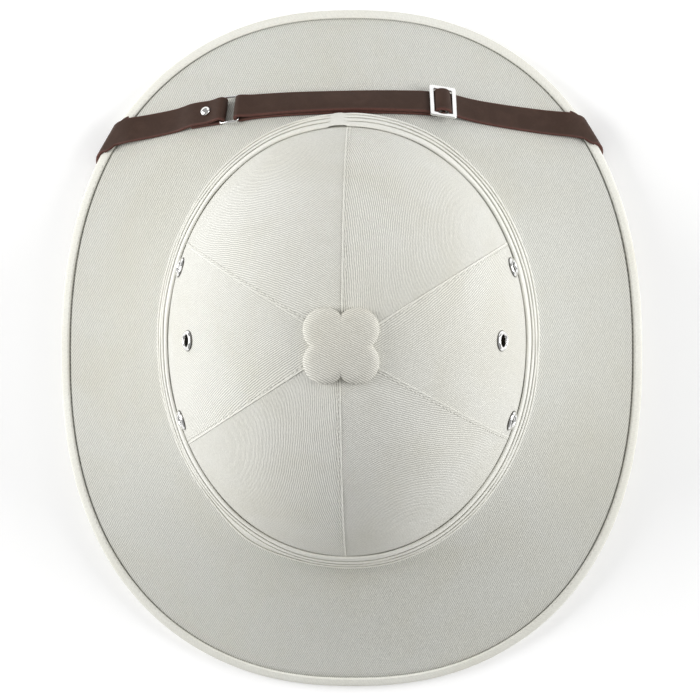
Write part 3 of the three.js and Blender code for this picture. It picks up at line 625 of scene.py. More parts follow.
def place_shell(u, v):
    inside = v > 0.5
    depth = np.where(inside, 2 - 2 * (2 * v - 1), 4 * v)
    out = np.where(inside, inner_distance(depth), SHELL_OUT)
    return on_helmet(360 * u, depth, out, step=0.06)


shell_bm = close_ring(laid_grid(192, 140, place_shell))
shell = finish_piece("helmet_shell", shell_bm, PITH, ["pith_shell"])
cut_holes(shell)

# %% [markdown]
# ## Six crown panels and their seams
#
# On the real crown each panel laps over the one before it: its first edge is turned under, which
# makes a fine raised ridge, and a row of stitches holds it. Here every panel is a grid with narrow
# columns near that edge. A short table says how high the cloth stands at each distance from the
# seam, in millimetres. The ribs of the twill lie about thirty degrees off each panel's middle line,
# so they change direction at every seam.

# %% The numbers of the panels
SEAM_COLUMNS = np.array([0, 0.05, 0.16, 0.34, 0.56, 0.8, 1.1, 1.75, 2.6, 4.2, 6.4])
SEAM_RISE = np.array([0.1, 0.27, 0.38, 0.41, 0.35, 0.22, 0.15, 0.08, 0.13, 0.08, 0.0])
PANEL_COLUMNS, PANEL_ROWS, PANEL_TOP_LEAN, PANEL_FOOT_LEAN = 38, 150, 5.0, 78.0
FOLD_COLUMNS, PANEL_GAP, SEAM_ROOM, CLOTH_WALL = 4, 0.05, 16, 0.9
STITCH_LINE, STITCH_PITCH, PUCKER, PUCKER_REACH = 1.75, 2.6, 0.1, 1.1
SWELL, BAND_PRESS, BAND_LEANS = 0.12, 0.75, (68.5, 71)
# Each panel: the azimuths of its two seams, and the azimuth that its ribs point along.
PANELS = {
    "front_right": (0.0, 58.0, 0.0),
    "right": (58.0, 120.0, 60.0),
    "rear_right": (120.0, 180.0, 116.0),
    "rear_left": (180.0, 237.0, 180.0),
    "left": (237.0, 301.0, 240.0),
    "front_left": (301.0, 360.0, 298.0),
}
print("panels:", len(PANELS), "with a seam ridge of", SEAM_RISE.max(), "mm")


# %% Distances on a panel
def meridian(azimuth, leans):
    """Distances down the crown along one azimuth, in millimetres."""
    points = crown_point(np.full(len(leans), azimuth), leans)
    steps = np.linalg.norm(np.diff(points, axis=0), axis=1)
    return np.concatenate([[0], np.cumsum(steps)])


def panel_rows(v):
    return PANEL_TOP_LEAN + (PANEL_FOOT_LEAN - PANEL_TOP_LEAN) * (1 - v)


def panel_distance(u, arc):
    """Distance from the first seam, with narrow columns beside it."""
    column = np.round(u * PANEL_COLUMNS).astype(int)
    near = len(SEAM_COLUMNS)
    squeeze = np.minimum(1, arc / SEAM_ROOM)
    narrow = SEAM_COLUMNS[np.minimum(column, near - 1)] * squeeze
    wide = SEAM_COLUMNS[-1] * squeeze
    wide = wide + (arc - wide) * (column - near + 1) / (PANEL_COLUMNS - near + 1)
    rise = np.where(column < near, SEAM_RISE[np.minimum(column, near - 1)], 0.0)
    return np.where(column < near, narrow, wide), rise * squeeze


# %% The panels
def make_panel(name, start, end, ribs):
    middle, span = (start + end) / 2, end - start
    leans = np.linspace(0, 90, 181)
    down = meridian(middle, leans)

    def spread(u, v):
        lean = panel_rows(v)
        reach = crown_reach(np.full(len(u), middle))
        arc = math.radians(span) * reach * np.sin(np.radians(lean))
        return (*panel_distance(u, arc - PANEL_GAP), arc, lean)

    def place(u, v):
        distance, rise, arc, lean = spread(u, v)
        azimuth = start + span * (distance + PANEL_GAP / 2) / arc
        swell = SWELL * np.sin(azimuth * 0.21 + lean * 0.17) * np.sin(lean * 0.11 + start)
        pucker = PUCKER * np.cos(np.interp(lean, leans, down) * 2 * math.pi / STITCH_PITCH)
        pucker = pucker * np.exp(-(((distance - STITCH_LINE) / PUCKER_REACH) ** 2))
        pressed = 1 - BAND_PRESS * smooth_step(lean, *BAND_LEANS)
        return on_helmet(azimuth, lean / FOOT_LEAN, (rise + swell + pucker) * pressed)

    def cloth_map(u, v):
        distance, _, arc, lean = spread(u, v)
        across, along = distance - arc / 2, np.interp(lean, leans, down)
        turn = math.radians(ribs - middle)
        first = across * math.cos(turn) - along * math.sin(turn)
        return np.stack([first, across * math.sin(turn) + along * math.cos(turn)], axis=-1)

    bm = laid_grid(PANEL_COLUMNS, PANEL_ROWS, place, cloth_map)
    # The folded columns by the seam are marked: the shader leaves their ribs out and paints them
    # lighter, as a painted highlight on the seam ridge.
    fold = bm.verts.layers.float.new("pressed")
    for index, vertex in enumerate(bm.verts):
        vertex[fold] = float(index % (PANEL_COLUMNS + 1) <= FOLD_COLUMNS)
    bmesh.ops.reverse_faces(bm, faces=bm.faces[:])
    give_thickness(bm, CLOTH_WALL)
    return finish_piece("crown_cloth_" + name, bm, CROWN_CLOTH, ["crown_panel_" + name])


crown_cloths = {name: make_panel(name, *facts) for name, facts in PANELS.items()}
for side in ("right", "left"):
    cut_holes(crown_cloths[side])
bpy.data.objects.remove(DRILLS)

# %% The length of each of the six panels, down its middle
for name, (start, end, _) in PANELS.items():
    middle = (start + end) / 2
    leans = np.linspace(PANEL_TOP_LEAN, PANEL_FOOT_LEAN, 60)
    length = float(meridian(middle, leans)[-1]) * MM

# %% [markdown]
# ## Stitches
#
# A stitch is a short soft bar of thread that dips into the cloth at both ends. A sphere of few faces,
# drawn out along the seam and flattened, is enough for something so small, and hundreds of them stay
# light. Each row goes into one piece.


# %% Rows of stitches
def sew(name, places, length, width, height):
    """places holds a point in metres, the direction of the seam and the cloth's normal."""
    bm = bmesh.new()
    size = Matrix.Diagonal((length / 2 * MM, width / 2 * MM, height / 2 * MM, 1))
    for point, along, normal in places:
        bmesh.ops.create_uvsphere(
            bm,
            u_segments=7,
            v_segments=4,
            radius=1.0,
            matrix=upright(point, normal, along) @ size,
        )
    finish_piece(name, bm, THREAD, crease=80)
    print(name, len(places), "stitches")


SEWN_LEANS, STITCH_LIFT = (9.5, 72), 0.27


def seam_places(start):
    leans = np.linspace(*SEWN_LEANS, 400)
    length = meridian(start, leans)
    count = int(length[-1] / STITCH_PITCH)
    lean = np.interp(np.arange(count + 1) * STITCH_PITCH, length, leans)
    radius = crown_reach(np.full(len(lean), start)) * np.sin(np.radians(lean))
    azimuth = start + np.degrees(STITCH_LINE / radius)
    depth = lean / FOOT_LEAN
    points = on_helmet(azimuth, depth, STITCH_LIFT)
    ahead = on_helmet(azimuth, depth + 0.01, STITCH_LIFT) - points
    return list(zip(points, ahead, surface_normal(azimuth, depth), strict=True))


seam_stitches = [place for start, _, _ in PANELS.values() for place in seam_places(start)]
sew("seam_stitches", seam_stitches, length=1.9, width=0.42, height=0.4)

# %% [markdown]
# ## The cap
#
# The cap is a padded button of four lobes, covered with the same twill. The outline is four circles
# set on the diagonals, and the notches between them pull the cloth in. A polar grid follows the dome,
# goes over the rounded rim and comes back underneath.

# %% The vent cap
LOBE_OFFSET, LOBE_RADIUS = 7.4, 10.1
CAP_ROWS = [0, 0.2, 0.38, 0.52, 0.63, 0.72, 0.79, 0.845, 0.89, 0.925, 0.955, 0.978, 0.992, 1.0]
RIM_ROWS = [(0.999, 0.8), (0.985, 0.35), (0.955, 0.05), (0.5, 0.0), (0.0, 0.0)]
CAP_SHARES = np.array(CAP_ROWS + [share for share, _ in RIM_ROWS])
CAP_EDGE, CAP_ROLL, CAP_PUFF, CAP_DOME, CAP_REACH = 1.3, 4.6, 2.9, 1.7, 18
CAP_RIBS, CAP_GAP = 117.0, 0.3


def crown_height(x, y):
    out = (np.abs(x) / CROWN_HALF_WIDTH) ** CROWN_SQUARENESS
    out = out + (np.abs(y - CROWN_MIDDLE_Y) / CROWN_HALF_LENGTH) ** CROWN_SQUARENESS
    out = out ** (1 / CROWN_SQUARENESS)
    return CROWN_MIDDLE_Z + CROWN_RISE * np.sqrt(1 - out * out)


def cap_plan(u, v):
    turn = 2 * math.pi * u
    off = np.mod(turn, math.pi / 2) - math.pi / 4
    to_lobe = math.hypot(LOBE_OFFSET, LOBE_OFFSET)
    reach = to_lobe * np.cos(off) + np.sqrt(LOBE_RADIUS**2 - (to_lobe * np.sin(off)) ** 2)
    row = np.round(v * (len(CAP_SHARES) - 1)).astype(int)
    share = CAP_SHARES[row]
    edge = np.clip((1 - share) * reach / CAP_ROLL, 0, 1)
    rise = CAP_EDGE + CAP_PUFF * np.sqrt(1 - (1 - edge) ** 2)
    rise = rise + CAP_DOME * (1 - (share * reach / CAP_REACH) ** 2)
    rim = np.array([height for _, height in RIM_ROWS])
    rise = np.where(row < len(CAP_ROWS), rise, rim[np.maximum(row - len(CAP_ROWS), 0)])
    x, y = np.cos(turn) * reach * share, CROWN_MIDDLE_Y + np.sin(turn) * reach * share
    return x, y, rise


def place_cap(u, v):
    x, y, rise = cap_plan(u, v)
    return np.stack([x, y, crown_height(x, y) + CAP_GAP + rise], axis=-1) * MM


def plan_map(x, y, ribs):
    """Cloth coordinates for a piece that lies nearly level, with its ribs along an azimuth."""
    turn = math.radians(ribs)
    along = -math.sin(turn) * x - math.cos(turn) * y
    return np.stack([math.cos(turn) * x - math.sin(turn) * y, along], axis=-1)


def map_cap(u, v):
    x, y, rise = cap_plan(u, v)
    return plan_map(x + rise * 0.4, y, CAP_RIBS)


cap_bm = face_outward(close_ring(laid_grid(128, len(CAP_SHARES) - 1, place_cap, map_cap)))
cap = finish_piece("vent_button", cap_bm, CAP_CLOTH, ["vent_cap"], crease=70)

# %% [markdown]
# ## The brim's cloth and its bound edge
#
# The brim is covered with one ring of twill. Just inside the binding, the sewing pulls the cloth down
# into a narrow ditch, which shows as a fine dark line all round. The rows of the grid are close
# together there. The binding is a folded tape, and it wraps the edge from above to below.

# %% The cloth over the brim
BRIM_COLUMNS = 288
EDGE_DISTANCES = np.array([0, 1.5, 3.0, 4.5, 4.72, 4.85, 5.05, 5.25, 5.8, 8.0, 11.0])
DITCH = np.array([0, 0, 0, -0.1, -0.6, -0.85, -0.8, -0.25, 0.0, 0.0, 0.0])
BRIM_ROWS = 34
BRIM_RIBS = 154.0


def brim_rows(u, v):
    """Azimuth, depth and sink of the brim's grid. v is 0 at the edge and 1 under the band."""
    azimuth = 360 * u
    across = brim_point(azimuth, np.ones_like(u)) - brim_point(azimuth, np.zeros_like(u))
    width = np.linalg.norm(across, axis=-1)
    row, near = v * BRIM_ROWS, len(EDGE_DISTANCES) - 1
    close = np.interp(row, np.arange(near + 1), EDGE_DISTANCES)
    far = EDGE_DISTANCES[-1] + (width - EDGE_DISTANCES[-1]) * (row - near) / (BRIM_ROWS - 2 - near)
    distance = np.where(row <= near, close, far)
    sink = np.where(row <= near, np.interp(row, np.arange(near + 1), DITCH), 0.0)
    past_foot = np.maximum(distance - width, 0)
    depth = 2 - np.minimum(distance / width, 1) - past_foot * 0.006
    return azimuth, depth, sink


def place_brim(u, v):
    azimuth, depth, sink = brim_rows(u, v)
    turn = np.radians(azimuth)
    swell = 0.1 * np.sin(5 * turn + 4 * depth) * np.sin(9 * depth) * (depth < 1.9)
    return on_helmet(azimuth, depth, sink + swell, step=0.03)


def map_brim(u, v):
    azimuth, depth, _ = brim_rows(u, v)
    point = surface(azimuth, depth)
    return plan_map(point[:, 0], point[:, 1], BRIM_RIBS)


brim_bm = close_ring(laid_grid(BRIM_COLUMNS, BRIM_ROWS, place_brim, map_brim))
bmesh.ops.reverse_faces(brim_bm, faces=brim_bm.faces[:])
give_thickness(brim_bm, CLOTH_WALL)
brim = finish_piece("brim_cloth", brim_bm, BRIM_CLOTH, ["brim_cover"])
print("brim cloth area:", round(one_side_area(brim), 4), "square metres")

# %% The binding round the edge
BINDING_SECTION = np.array(
    [
        (-4.62, 0.22), (-4.72, 0.55), (-4.66, 0.92), (-4.4, 1.12), (-3.6, 1.2), (-2.4, 1.24),
        (-1.3, 1.22), (-0.5, 1.08), (0.25, 0.72), (0.78, 0.1), (1.06, -0.75), (1.14, -1.75),
        (1.06, -2.75), (0.78, -3.6), (0.25, -4.22), (-0.5, -4.58), (-1.3, -4.72), (-2.4, -4.76),
        (-3.6, -4.72), (-4.4, -4.62), (-4.66, -4.42), (-4.72, -4.05), (-4.62, -3.72),
        (-1.0, -3.74), (0.0, -3.5), (0.22, -2.9), (0.24, -1.75), (0.22, -0.6), (0.0, 0.02),
        (-1.0, 0.2),
    ]
)


def edge_frames(azimuth):
    """Point, normal and outward direction at the brim's edge, in millimetres."""
    at_edge = np.ones_like(azimuth)
    point = brim_point(azimuth, at_edge)
    normal = surface_normal(azimuth, np.full_like(azimuth, 2.0))
    ahead = brim_point(azimuth + 1, at_edge) - brim_point(azimuth - 1, at_edge)
    return point, normal, unit(np.cross(normal, unit(ahead)))


def on_edge(azimuth, out, up):
    point, normal, outward = edge_frames(azimuth)
    outward = outward * np.sign(np.sum(outward * heading(azimuth), axis=-1))[..., None]
    placed = point + outward * out[..., None] + normal * up[..., None]
    placed[..., 2] = np.maximum(placed[..., 2], 0.0)
    return placed * MM


def section_at(v, section):
    """A closed section read by the share of its points."""
    place = np.round(v * len(section)).astype(int) % len(section)
    return section[place, 0], section[place, 1]


def place_binding(u, v):
    azimuth = 360 * u
    out, up = section_at(v, BINDING_SECTION)
    ripple = 0.05 * np.sin(np.radians(azimuth) * 97) * (np.abs(up - 1.1) < 0.3)
    return on_edge(azimuth, out, up + ripple)


def map_binding(u, v):
    along, across = 1020 * u, 15 * v
    return np.stack([along + across, across - along], axis=-1) * 0.7


binding_bm = laid_grid(480, len(BINDING_SECTION), place_binding, map_binding)
face_outward(close_ring(binding_bm))
binding = finish_piece("edge_tape", binding_bm, BINDING_CLOTH, ["edge_binding"], crease=60)

# %% Stitches along the binding
BINDING_STITCHES, LIP_OUT, LIP_UP = 340, -3.85, 1.2
edge_turns = np.arange(0, 360, 360 / BINDING_STITCHES)
lip_out, lip_up = np.full(len(edge_turns), LIP_OUT), np.full(len(edge_turns), LIP_UP)
lip_points = on_edge(edge_turns, lip_out, lip_up)
lip_ahead = on_edge(edge_turns + 0.3, lip_out, lip_up) - lip_points
lip_places = list(zip(lip_points, lip_ahead, edge_frames(edge_turns)[1], strict=True))
sew("binding_stitches", lip_places, length=1.9, width=0.36, height=0.3)

# %% [markdown]
# ## The pleated band
#
# The band is a strip of thin cotton, pleated lengthwise and wound round the foot of the crown. Each
# pleat lies outside the one above it, so its folded edge looks up and makes a fine step with a narrow
# groove behind it. One section with four folds is carried all round the crown. Every fold also
# wanders a little in height, because the pleats are laid by hand, and they close up at the front,
# where the ends of the strip are joined.

# %% The section of the band
BAND_TOPS = np.array([77.0, 70.4, 64.1, 57.8])
BAND_PROUD = np.array([1.2, 2.1, 2.8, 3.6])
LIP = [(-1.6, -0.46), (-0.6, -0.44), (-0.12, -0.3), (0.08, 0.0)]
LIP += [(-0.05, 0.28), (-0.45, 0.45), (-1.4, 0.5), (-3.2, 0.44)]
TOP_LIP = [(-1.6, -0.98), (-0.6, -0.96), (-0.12, -0.8), (0.1, -0.35), *LIP[4:]]
TUCK = [(1.2, -0.42), (-0.1, -0.6), (-1.5, -0.66)]
FOOT = [(-5.4, 0.34), (-6.8, 0.2), (-7.25, -0.1), (-7.3, -0.6), (-6.2, -0.95), (-6.0, -2.4)]
BACK = [(3, -1.8, -3.2), (1, -4.4, -1.75), (0, -2.5, -0.85)]
BAND_SECTION = [
    (fold + (part is TUCK), up, out)
    for fold in range(4)
    for part in (LIP if fold else TOP_LIP, TUCK if fold < 3 else FOOT)
    for up, out in part
] + BACK
BAND_SECTION = np.array(BAND_SECTION)
BAND_COLUMNS, BACK_ROWS = 420, len(BACK)
JOIN_AZIMUTH, JOIN_WIDTH = 357.6, 2.4
PLAIN_TOP, PLAIN_FALL, PLAIN_PROUD, PLAIN_SLOPE = 77.1, 26.4, 1.3, 0.105
LOOSE_AZIMUTH, LOOSE_WIDTH, LOOSE_REACH = 206, 9, 2.0
random.seed(4)
FOLD_PHASES = np.array([[random.uniform(0, 2 * math.pi) for _ in range(4)] for _ in range(4)])


def band_place(azimuth, height, proud):
    fall = (height - CROWN_MIDDLE_Z) / CROWN_RISE
    reach = crown_reach(azimuth) * np.sqrt(1 - fall * fall) + proud
    point = heading(azimuth) * reach[..., None]
    point[..., 1] += CROWN_MIDDLE_Y
    point[..., 2] = height
    return point * MM


def place_band(u, v):
    turn, azimuth = 2 * math.pi * u, 360 * u
    row = np.round(v * len(BAND_SECTION)).astype(int) % len(BAND_SECTION)
    fold = BAND_SECTION[row, 0].astype(int)
    up, out = BAND_SECTION[row, 1], BAND_SECTION[row, 2]
    one, two, three, four = FOLD_PHASES[fold].T
    wander = 0.3 * np.sin(2 * turn + one) + 0.2 * np.sin(5 * turn + two)
    wander = wander + 0.12 * np.sin(11 * turn + three)
    lean_out = 0.1 * np.sin(7 * turn + four) + 0.07 * np.sin(17 * turn + one)
    # One fold at the rear has come a little loose from the others.
    loose = LOOSE_REACH * np.exp(-(((azimuth - LOOSE_AZIMUTH) / LOOSE_WIDTH) ** 2))
    loose = loose * (fold == 3) * (up > -3) * (up < 0.2)
    visible = row < len(BAND_SECTION) - BACK_ROWS
    height = BAND_TOPS[fold] + up + np.where(visible, wander, 0)
    proud = BAND_PROUD[fold] + out + np.where(visible, lean_out + loose, 0)
    # At the front the ends of the strip are sewn flat, so the folds run out into a plain slope.
    off_join = np.abs(azimuth - JOIN_AZIMUTH)
    off_join = np.minimum(off_join, 360 - off_join)
    joined = np.exp(-((off_join / JOIN_WIDTH) ** 4)) * visible
    plain = PLAIN_TOP - PLAIN_FALL * row / (len(BAND_SECTION) - BACK_ROWS - 1)
    slope = PLAIN_PROUD + (PLAIN_TOP - plain) * PLAIN_SLOPE
    height = height + (plain - height) * joined
    proud = proud + (slope - proud) * joined
    return band_place(azimuth, height, proud)


def map_band(u, v):
    along, across = 645 * u, 52 * v
    return np.stack([along + across, across - along], axis=-1) * 0.7


band_bm = laid_grid(BAND_COLUMNS, len(BAND_SECTION), place_band, map_band)
face_outward(close_ring(band_bm))
band = finish_piece("pleated_cloth", band_bm, BAND_CLOTH, ["pleated_band"], crease=75)

# %% [markdown]
# ## Eyelets, rivet and studs
#
# These are turned shapes. Half of the section is drawn as a short profile, and bmesh.ops.spin carries
# it round the axis and merges its start with its end. The piece is made at the origin, and a matrix
# then stands it on its place.


# %% Turned metal
def turned(name, profile, matrix, stands_for, steps=48, ring=False, painted_shade=()):
    bm = bmesh.new()
    shade_mask = bm.verts.layers.float.new("painted_shade")
    corners = [bm.verts.new((radius * MM, 0, height * MM)) for radius, height in profile]
    # The listed corners carry the mark that the nickel shader paints as shade.
    for index in painted_shade:
        corners[index][shade_mask] = 1.0
    ends = corners[1:] + corners[:1] if ring else corners[1:]
    edges = [bm.edges.new(pair) for pair in zip(corners, ends)]
    bmesh.ops.spin(
        bm,
        geom=corners + edges,
        cent=(0, 0, 0),
        axis=(0, 0, 1),
        angle=2 * math.pi,
        steps=steps,
        use_merge=True,
    )
    bmesh.ops.remove_doubles(bm, verts=bm.verts[:], dist=0.003 * MM)
    face_outward(bm)
    bmesh.ops.transform(bm, matrix=matrix, verts=bm.verts[:])
    finish_piece(name, bm, NICKEL, stands_for, crease=50)


EYELET_PROFILE = [(2.85, -4.9), (2.85, -0.6), (2.86, 0.5), (2.98, 1.0), (3.3, 1.32), (3.75, 1.42)]
EYELET_PROFILE += [(4.25, 1.28), (4.65, 0.92), (4.82, 0.6), (4.9, 0.4), (5.05, 0.3), (5.0, 0.02)]
EYELET_PROFILE += [(3.45, 0.0), (3.3, -0.5), (3.3, -4.55), (3.95, -4.65), (3.95, -4.9)]
for name, place in EYELET_PLACES.items():
    turned(
        "eyelet_rim_" + name,
        EYELET_PROFILE,
        eyelet_matrix(*place),
        ["eyelet_" + name],
        ring=True,
        # Corners inside the hole and at the flange's edge against the cloth get painted shade.
        painted_shade=(0, 1, 9, 10, 11, 12, 13, 14, 15),
    )

# %% [markdown]
# ## The chin strap
#
# Two straps of brown leather lie over the front of the brim. The short one, on the wearer's left, goes
# through the ring and is riveted back on itself. The long one goes through the slider, round the other
# side of the ring, and back to the slider, so the strap can be let out. Both go round the brim's edge
# and up the inside to a stud at the ear.
#
# A strap is a ribbon through stations: a point on its middle line and the normal of its face. Its
# section has rounded edges. An attribute called cut_edge tells the leather shader which vertices lie
# on the raw edge.

# %% Smooth lines
STRAP_WIDTH, STRAP_THICKNESS, STRAP_CLEARANCE = 13.5, 1.7, 0.5
FIRST_LIFT = STRAP_CLEARANCE + STRAP_THICKNESS / 2
SECOND_LIFT = FIRST_LIFT + STRAP_THICKNESS + 0.35
FOLD_RADIUS = 1.9
FOLD_LIFT = FIRST_LIFT + FOLD_RADIUS


def curve_points(points, places):
    """A centripetal Catmull-Rom curve through points, read at places counted from 0."""
    points = np.asarray(points, float)
    ends = 2 * points[0] - points[1], 2 * points[-1] - points[-2]
    points = np.concatenate([[ends[0]], points, [ends[1]]])
    first = np.clip(np.floor(places).astype(int), 0, len(points) - 4)
    share = (places - first)[:, None]
    a, b, c, d = (points[first + step] for step in range(4))
    pairs = ((a, b), (b, c), (c, d))
    ab, bc, cd = (np.linalg.norm(q - p, axis=1, keepdims=True) ** 0.5 for p, q in pairs)
    leave = ((b - a) / ab - (c - a) / (ab + bc) + (c - b) / bc) * bc
    arrive = ((c - b) / bc - (d - b) / (bc + cd) + (d - c) / cd) * bc
    square, cube = share**2, share**3
    curve = (2 * cube - 3 * square + 1) * b + (cube - 2 * square + share) * leave
    return curve + (3 * square - 2 * cube) * c + (cube - square) * arrive


def measured(points, count=1600):
    """The curve's samples, the distance along it, and its directions."""
    samples = curve_points(points, np.linspace(0, len(points) - 1, count))
    along = np.concatenate([[0], np.cumsum(np.linalg.norm(np.diff(samples, axis=0), axis=1))])
    return samples, along, unit(np.gradient(samples, axis=0))


def read_at(line, distance, what=0):
    return np.stack([np.interp(distance, line[1], column) for column in line[what].T], axis=-1)


# %% Frames on the brim
def brim_place(x, y):
    azimuth, share = 0.0, 0.5
    for _ in range(20):
        aside = y - CROWN_MIDDLE_Y - (BRIM_MIDDLE_Y - CROWN_MIDDLE_Y) * share
        azimuth = math.degrees(math.atan2(-x, -aside))
        foot, edge = brim_reaches(azimuth)
        share = float((math.hypot(x, aside) - foot) / (edge - foot))
    return azimuth, share


def brim_frame(x, y, along_plan):
    azimuth, share = (np.array(value) for value in brim_place(x, y))
    normal = surface_normal(azimuth, 1 + share)
    slope = -(along_plan[0] * normal[0] + along_plan[1] * normal[1]) / normal[2]
    along = unit(np.array([along_plan[0], along_plan[1], slope]))
    return brim_point(azimuth, share), normal, along


# %% Round the edge, under the brim and over the brim
WRAP_RADIUS, WRAP_SETTLE, WRAP_FOOT, WRAP_TOP = 4.5, 24.0, -5.8, 1.3
LEFT_WRAP, RIGHT_WRAP = (310.6, -4.6), (47.9, 4.0)
STUD_TURN, STUD_DEPTH = 41.5, 0.91
UNDER_RUN = [(12, 1.7, 1.2), (22, 1.38, 2.8), (31, 1.12, 3.6)]
UNDER_RUN += [(37, 0.99, 2.4), (STUD_TURN, STUD_DEPTH, 0.4), (46, 0.85, 0.4)]


def wrap_stations(azimuth, advance, count=21):
    share = np.linspace(0, 1, count)
    point, normal, outward = edge_frames(azimuth + advance * (share - 0.5))
    turn = (math.pi * share)[:, None]
    face = normal * np.cos(turn) + outward * np.sin(turn)
    middle = (WRAP_TOP + WRAP_FOOT) / 2
    centre = point + outward * middle + normal * middle
    return centre + face * WRAP_RADIUS, face


def under_stations(wrap, edge_point, edge_normal, count=56):
    azimuth, advance = wrap
    hand = math.copysign(1, advance)
    places = [edge_point]
    for turn, depth, drop in UNDER_RUN:
        where, down = np.array(azimuth + hand * turn), np.array(depth)
        away = inner_distance(depth) - FIRST_LIFT - drop
        places.append(surface(where, down) + surface_normal(where, down) * away)
    line = measured(places)
    share = np.arange(1, count + 1) / count
    twist = smooth_step(share, 0.2, 0.8)[:, None]
    ear = -surface_normal(np.array(azimuth + hand * STUD_TURN), np.array(STUD_DEPTH))
    return read_at(line, share * line[1][-1]), unit(edge_normal * (1 - twist) + ear * twist)


def brim_stations(line, route):
    """The route is a list of a distance along the line and a lift above the cloth."""
    flat_route = np.array([(along, lift, 0) for along, lift in route])
    gaps = np.linalg.norm(np.diff(flat_route, axis=0), axis=1)
    places = [
        index + np.arange(count) / count
        for index, count in enumerate(np.maximum(6, np.ceil(gaps / 2)).astype(int))
    ]
    places = np.concatenate([*places, [len(route) - 1]])
    way = curve_points(flat_route, places)
    ahead = curve_points(flat_route, np.minimum(places + 0.002, len(route) - 1))
    heading_on = unit(ahead - curve_points(flat_route, np.maximum(places - 0.002, 0)))
    points, normals = [], []
    for (along, lift, _), (forward, rising, _) in zip(way, heading_on, strict=True):
        x, y, _ = read_at(line, along)
        point, normal, direction = brim_frame(x, y, read_at(line, along, 2))
        points.append(point + normal * lift)
        normals.append(unit(normal * forward - direction * rising))
    return np.array(points), np.array(normals)


# %% The ribbon itself
STRAP_SECTION = [(-1.0, 0.4), (-0.985, 0.78), (-0.94, 0.98), (-0.84, 1.0), (-0.8, 0.95), (-0.76, 1.0)]
STRAP_SECTION += [(-0.3, 1.02), (0.3, 1.02), (0.76, 1.0), (0.8, 0.95), (0.84, 1.0), (0.94, 0.98)]
STRAP_SECTION += [(0.985, 0.78), (1.0, 0.4), (1.0, -0.4), (0.985, -0.8), (0.92, -1.0), (0.3, -1.0)]
STRAP_SECTION += [(-0.3, -1.0), (-0.92, -1.0), (-0.985, -0.8), (-1.0, -0.4)]
STRAP_SECTION = np.array(STRAP_SECTION)
print("strap section:", len(STRAP_SECTION), "points,", STRAP_WIDTH, "x", STRAP_THICKNESS, "mm")


def ribbon(name, parts, wrap_span, edgewise, stands_for):
    points, normals = (np.concatenate([part[which] for part in parts]) for which in (0, 1))
    keep = np.concatenate([[True], np.linalg.norm(np.diff(points, axis=0), axis=1) > 0.02])
    points, normals = points[keep], normals[keep]
    along = np.concatenate([[0], np.cumsum(np.linalg.norm(np.diff(points, axis=0), axis=1))])
    starts = [np.argmin(np.linalg.norm(points - end, axis=1)) for end in wrap_span]
    square = unit(np.cross(unit(np.gradient(points, axis=0)), normals))
    level = unit(edgewise - normals * (normals @ edgewise)[:, None])
    level = level * np.sign(np.sum(level * square, axis=1))[:, None]
    away = np.maximum(np.maximum(along[min(starts)] - along, along - along[max(starts)]), 0)
    blend = smooth_step(away, 0, WRAP_SETTLE)[:, None]
    side = unit(square * blend + level * (1 - blend))
    side = side * (STRAP_WIDTH / 2 / np.sum(side * square, axis=1))[:, None]

    def place(u, v):
        station = np.round(u * (len(points) - 1)).astype(int)
        across, over = section_at(v, STRAP_SECTION)
        body = normals[station] * (over * STRAP_THICKNESS / 2)[:, None]
        return (points[station] + side[station] * across[:, None] + body) * MM

    bm = laid_grid(len(points) - 1, len(STRAP_SECTION), place)
    edge_layer = bm.verts.layers.float.new("cut_edge")
    flat_v = np.linspace(0, 1, len(STRAP_SECTION) + 1)
    bm.verts.ensure_lookup_table()
    for index, vertex in enumerate(bm.verts):
        across, _ = section_at(flat_v[index // len(points)], STRAP_SECTION)
        vertex[edge_layer] = float(smooth_step(abs(across), 0.9, 0.985))
    close_ring(bm)
    rims = [edge for edge in bm.edges if edge.is_boundary]
    bmesh.ops.holes_fill(bm, edges=rims, sides=0)
    face_outward(bm)
    finish_piece(name, bm, LEATHER, stands_for, crease=50)
    print(name, "is", round(along[-1]), "mm long")


def fold_route(length):
    middle = length - STRAP_THICKNESS / 2 - FOLD_RADIUS
    turns = [math.radians(degrees) for degrees in (-90, -45, 0, 45, 90)]
    return [
        (middle + FOLD_RADIUS * math.cos(turn), FOLD_LIFT - FOLD_RADIUS * math.sin(turn))
        for turn in turns
    ]


OVER_LIP = [(4, FIRST_LIFT + 1.35), (9, FIRST_LIFT + 1.3), (16, FIRST_LIFT + 0.5), (23, FIRST_LIFT)]
THROUGH_SLIDER = [(5.7, 3.3), (4.7, 3.4), (3.8, 4.0), (3.25, 5.0), (2.65, 6.1), (1.55, 6.85)]
LEFT_PLAN = [(97, -115.8), (80, -118.8), (70, -120), (61.5, -120.9)]
SLIDER_PLACE = (-46, -123.1)
RIGHT_PLAN = [(-76.9, -119.1), (-54.2, -122.3), SLIDER_PLACE, (-39.7, -123.8), (-25.8, -124)]
RIGHT_PLAN += [(-0.6, -123.8), (29.9, -123.2), (46, -122.5), (57.4, -121.2)]


def plan_line(start, plan):
    return measured([(start[0], start[1], 0), *[(x, y, 0) for x, y in plan]])


def make_strap(name, wrap, plan, make_route, stands_for):
    points, faces = wrap_stations(*wrap)
    under_points, under_faces = under_stations(wrap, points[-1], faces[-1])
    line = plan_line(points[0], plan)
    parts = [
        (under_points[::-1], under_faces[::-1]),
        (points[::-1], faces[::-1]),
        brim_stations(line, make_route(line)),
    ]
    after, before = (brim_point(np.array(wrap[0] + off), np.array(1.0)) for off in (1.0, -1.0))
    ribbon(name, parts, (points[-1], points[0]), unit(after - before), stands_for)
    return line


